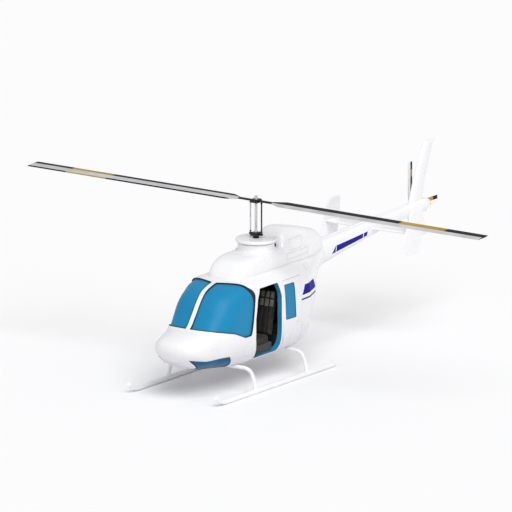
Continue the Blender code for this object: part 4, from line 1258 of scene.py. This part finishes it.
def row_at(table, y):
    """The table's section at this y, read between its rows."""
    for a, b in zip(table, table[1:]):
        if a[0] <= y <= b[0]:
            t = (y - a[0]) / (b[0] - a[0])
            return tuple(p + (q - p) * t for p, q in zip(a, b))
    return table[-1]


def rivet_rings(name, table, rows, count, radius=0.0035):
    """Flat rivet heads in rings round a lofted form."""
    work = bmesh.new()
    for y in rows:
        row = row_at(table, y)
        for number in range(count):
            turn = 2 * math.pi * (number + 0.5) / count
            spot = box_point(row, turn, 0.0)
            ahead, behind = box_point(row, turn + 0.02, 0.0), box_point(row, turn - 0.02, 0.0)
            out = Vector((0, 1, 0)).cross(ahead - behind).normalized()
            if out.dot(spot - Vector((0, y, row[3]))) < 0:
                out = -out
            place = Matrix.Translation(spot) @ out.to_track_quat("Z", "Y").to_matrix().to_4x4()
            bmesh.ops.create_cone(work, cap_ends=True, cap_tris=False, segments=8, radius1=radius,
                                  radius2=radius * 0.6, depth=0.0016, matrix=place)
    settle(hold(name, work), "airframe", sharp=40.0)


rivet_rings("boom_rivets", BOOM, [y + d for y in BOOM_BANDS for d in (-0.025, 0.025)], 28)
rivet_rings("pod_rivets", POD, [AFT_JOINT_Y + 0.02, 1.30, 1.72], 40)
print("bands and rivets made")

# %% [markdown]
# Navy stripes run along the pod and the boom, and thin grey lines show where the cowling opens. They
# are slices less than a millimetre thick, cut by outlines seen from the side, so their edges stay
# sharp at any distance and need no image.

# %% Stripes and panel lines
stripe_form = pod_form("stripe_form", -0.0008, 6)
boom_form = box_loft("boom_form", BOOM, -0.0008, sides=64, step=0.12, paint=6)
STRIPES = {
    "pod_line": (stripe_form, skin_form, [(0.44, 1.345), (1.20, 1.345), (1.18, 1.375), (0.45, 1.375)]),
    "pod_band": (stripe_form, skin_form, [(0.47, 1.44), (1.17, 1.44), (1.05, 1.62), (0.57, 1.62)]),
    "boom_stripe": (boom_form, boom_trim, [(2.22, 1.80), (3.42, 1.905), (3.45, 1.985), (2.33, 1.93)]),
}
for label, (outer, inner, outline) in STRIPES.items():
    for side, sign in SIDES.items():
        low, high = sorted((0.05 * sign, 1.0 * sign))
        region = slab("region", outline, "X", low, high, 0, 0.004, 6)
        settle(slice_of(outer, "%s_%s" % (label, side), region, inner), "airframe")
discard(stripe_form, boom_form)


def seam(name, skin, offset, outline, side, width=0.005):
    """The visible line round an access panel: a thin grey ribbon laid on a lofted skin."""
    sign = SIDES[side]
    low, high = sorted((0.05 * sign, 1.0 * sign))
    outer = slab("outer", outline, "X", low, high, 0.0, 0.02, 3)
    inner = slab("inner", outline, "X", low - 0.1, high + 0.1, width, 0.02, 3)
    settle(slice_of(offset, "%s_%s" % (name, side), outer, inner, skin), "airframe")
    discard(inner)


PANEL_LINES = {
    "cowling_panel_line": [(0.46, 2.06), (1.18, 2.06), (1.18, 2.175), (0.46, 2.175)],
    "cowling_door_line": [(0.56, 2.215), (0.98, 2.215), (0.98, 2.42), (0.56, 2.42)],
}
cowling_skin_form = box_loft("cowling_skin_form", COWLING, sides=72)
cowling_line_form = box_loft("cowling_line_form", COWLING, -0.0005, sides=72, paint=7)
for side in SIDES:
    for name, outline in PANEL_LINES.items():
        seam(name, cowling_skin_form, cowling_line_form, outline, side)
discard(cowling_skin_form, cowling_line_form)
cover_route = [(0, y, row_at(BOOM, y)[4] - 0.016) for y in (2.06, 2.6, 3.3, 4.0, 4.6, 4.95)]
cover = bar("drive_shaft_cover", cover_route, 0.030, 24)
carve(cover, "DIFFERENCE", boom_trim)
settle(cover, "airframe")
FUEL_CAP = [(0.0, 0.006), (0.034, 0.006), (0.038, 0.003), (0.046, 0.002), (0.048, -0.004),
            (0.0, -0.004)]
fuel_cap = lathe("fuel_cap", FUEL_CAP, (-0.689, 0.72, 1.25), 40, 0, (STEEL,), rotation(-90, "Y"))
settle(fuel_cap, "airframe")
print("stripes and panel lines made")

# %% [markdown]
# The cutting forms have done their work.

# %% Finish
discard(*doorways.values(), *shields.values(), *chins.values(), boom_trim)
discard(skin_form, wall_form, proud_form, *flush_forms, *sunk_forms)
low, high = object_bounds()
print("dressed box", [round(v, 3) for v in (*low, *high)])
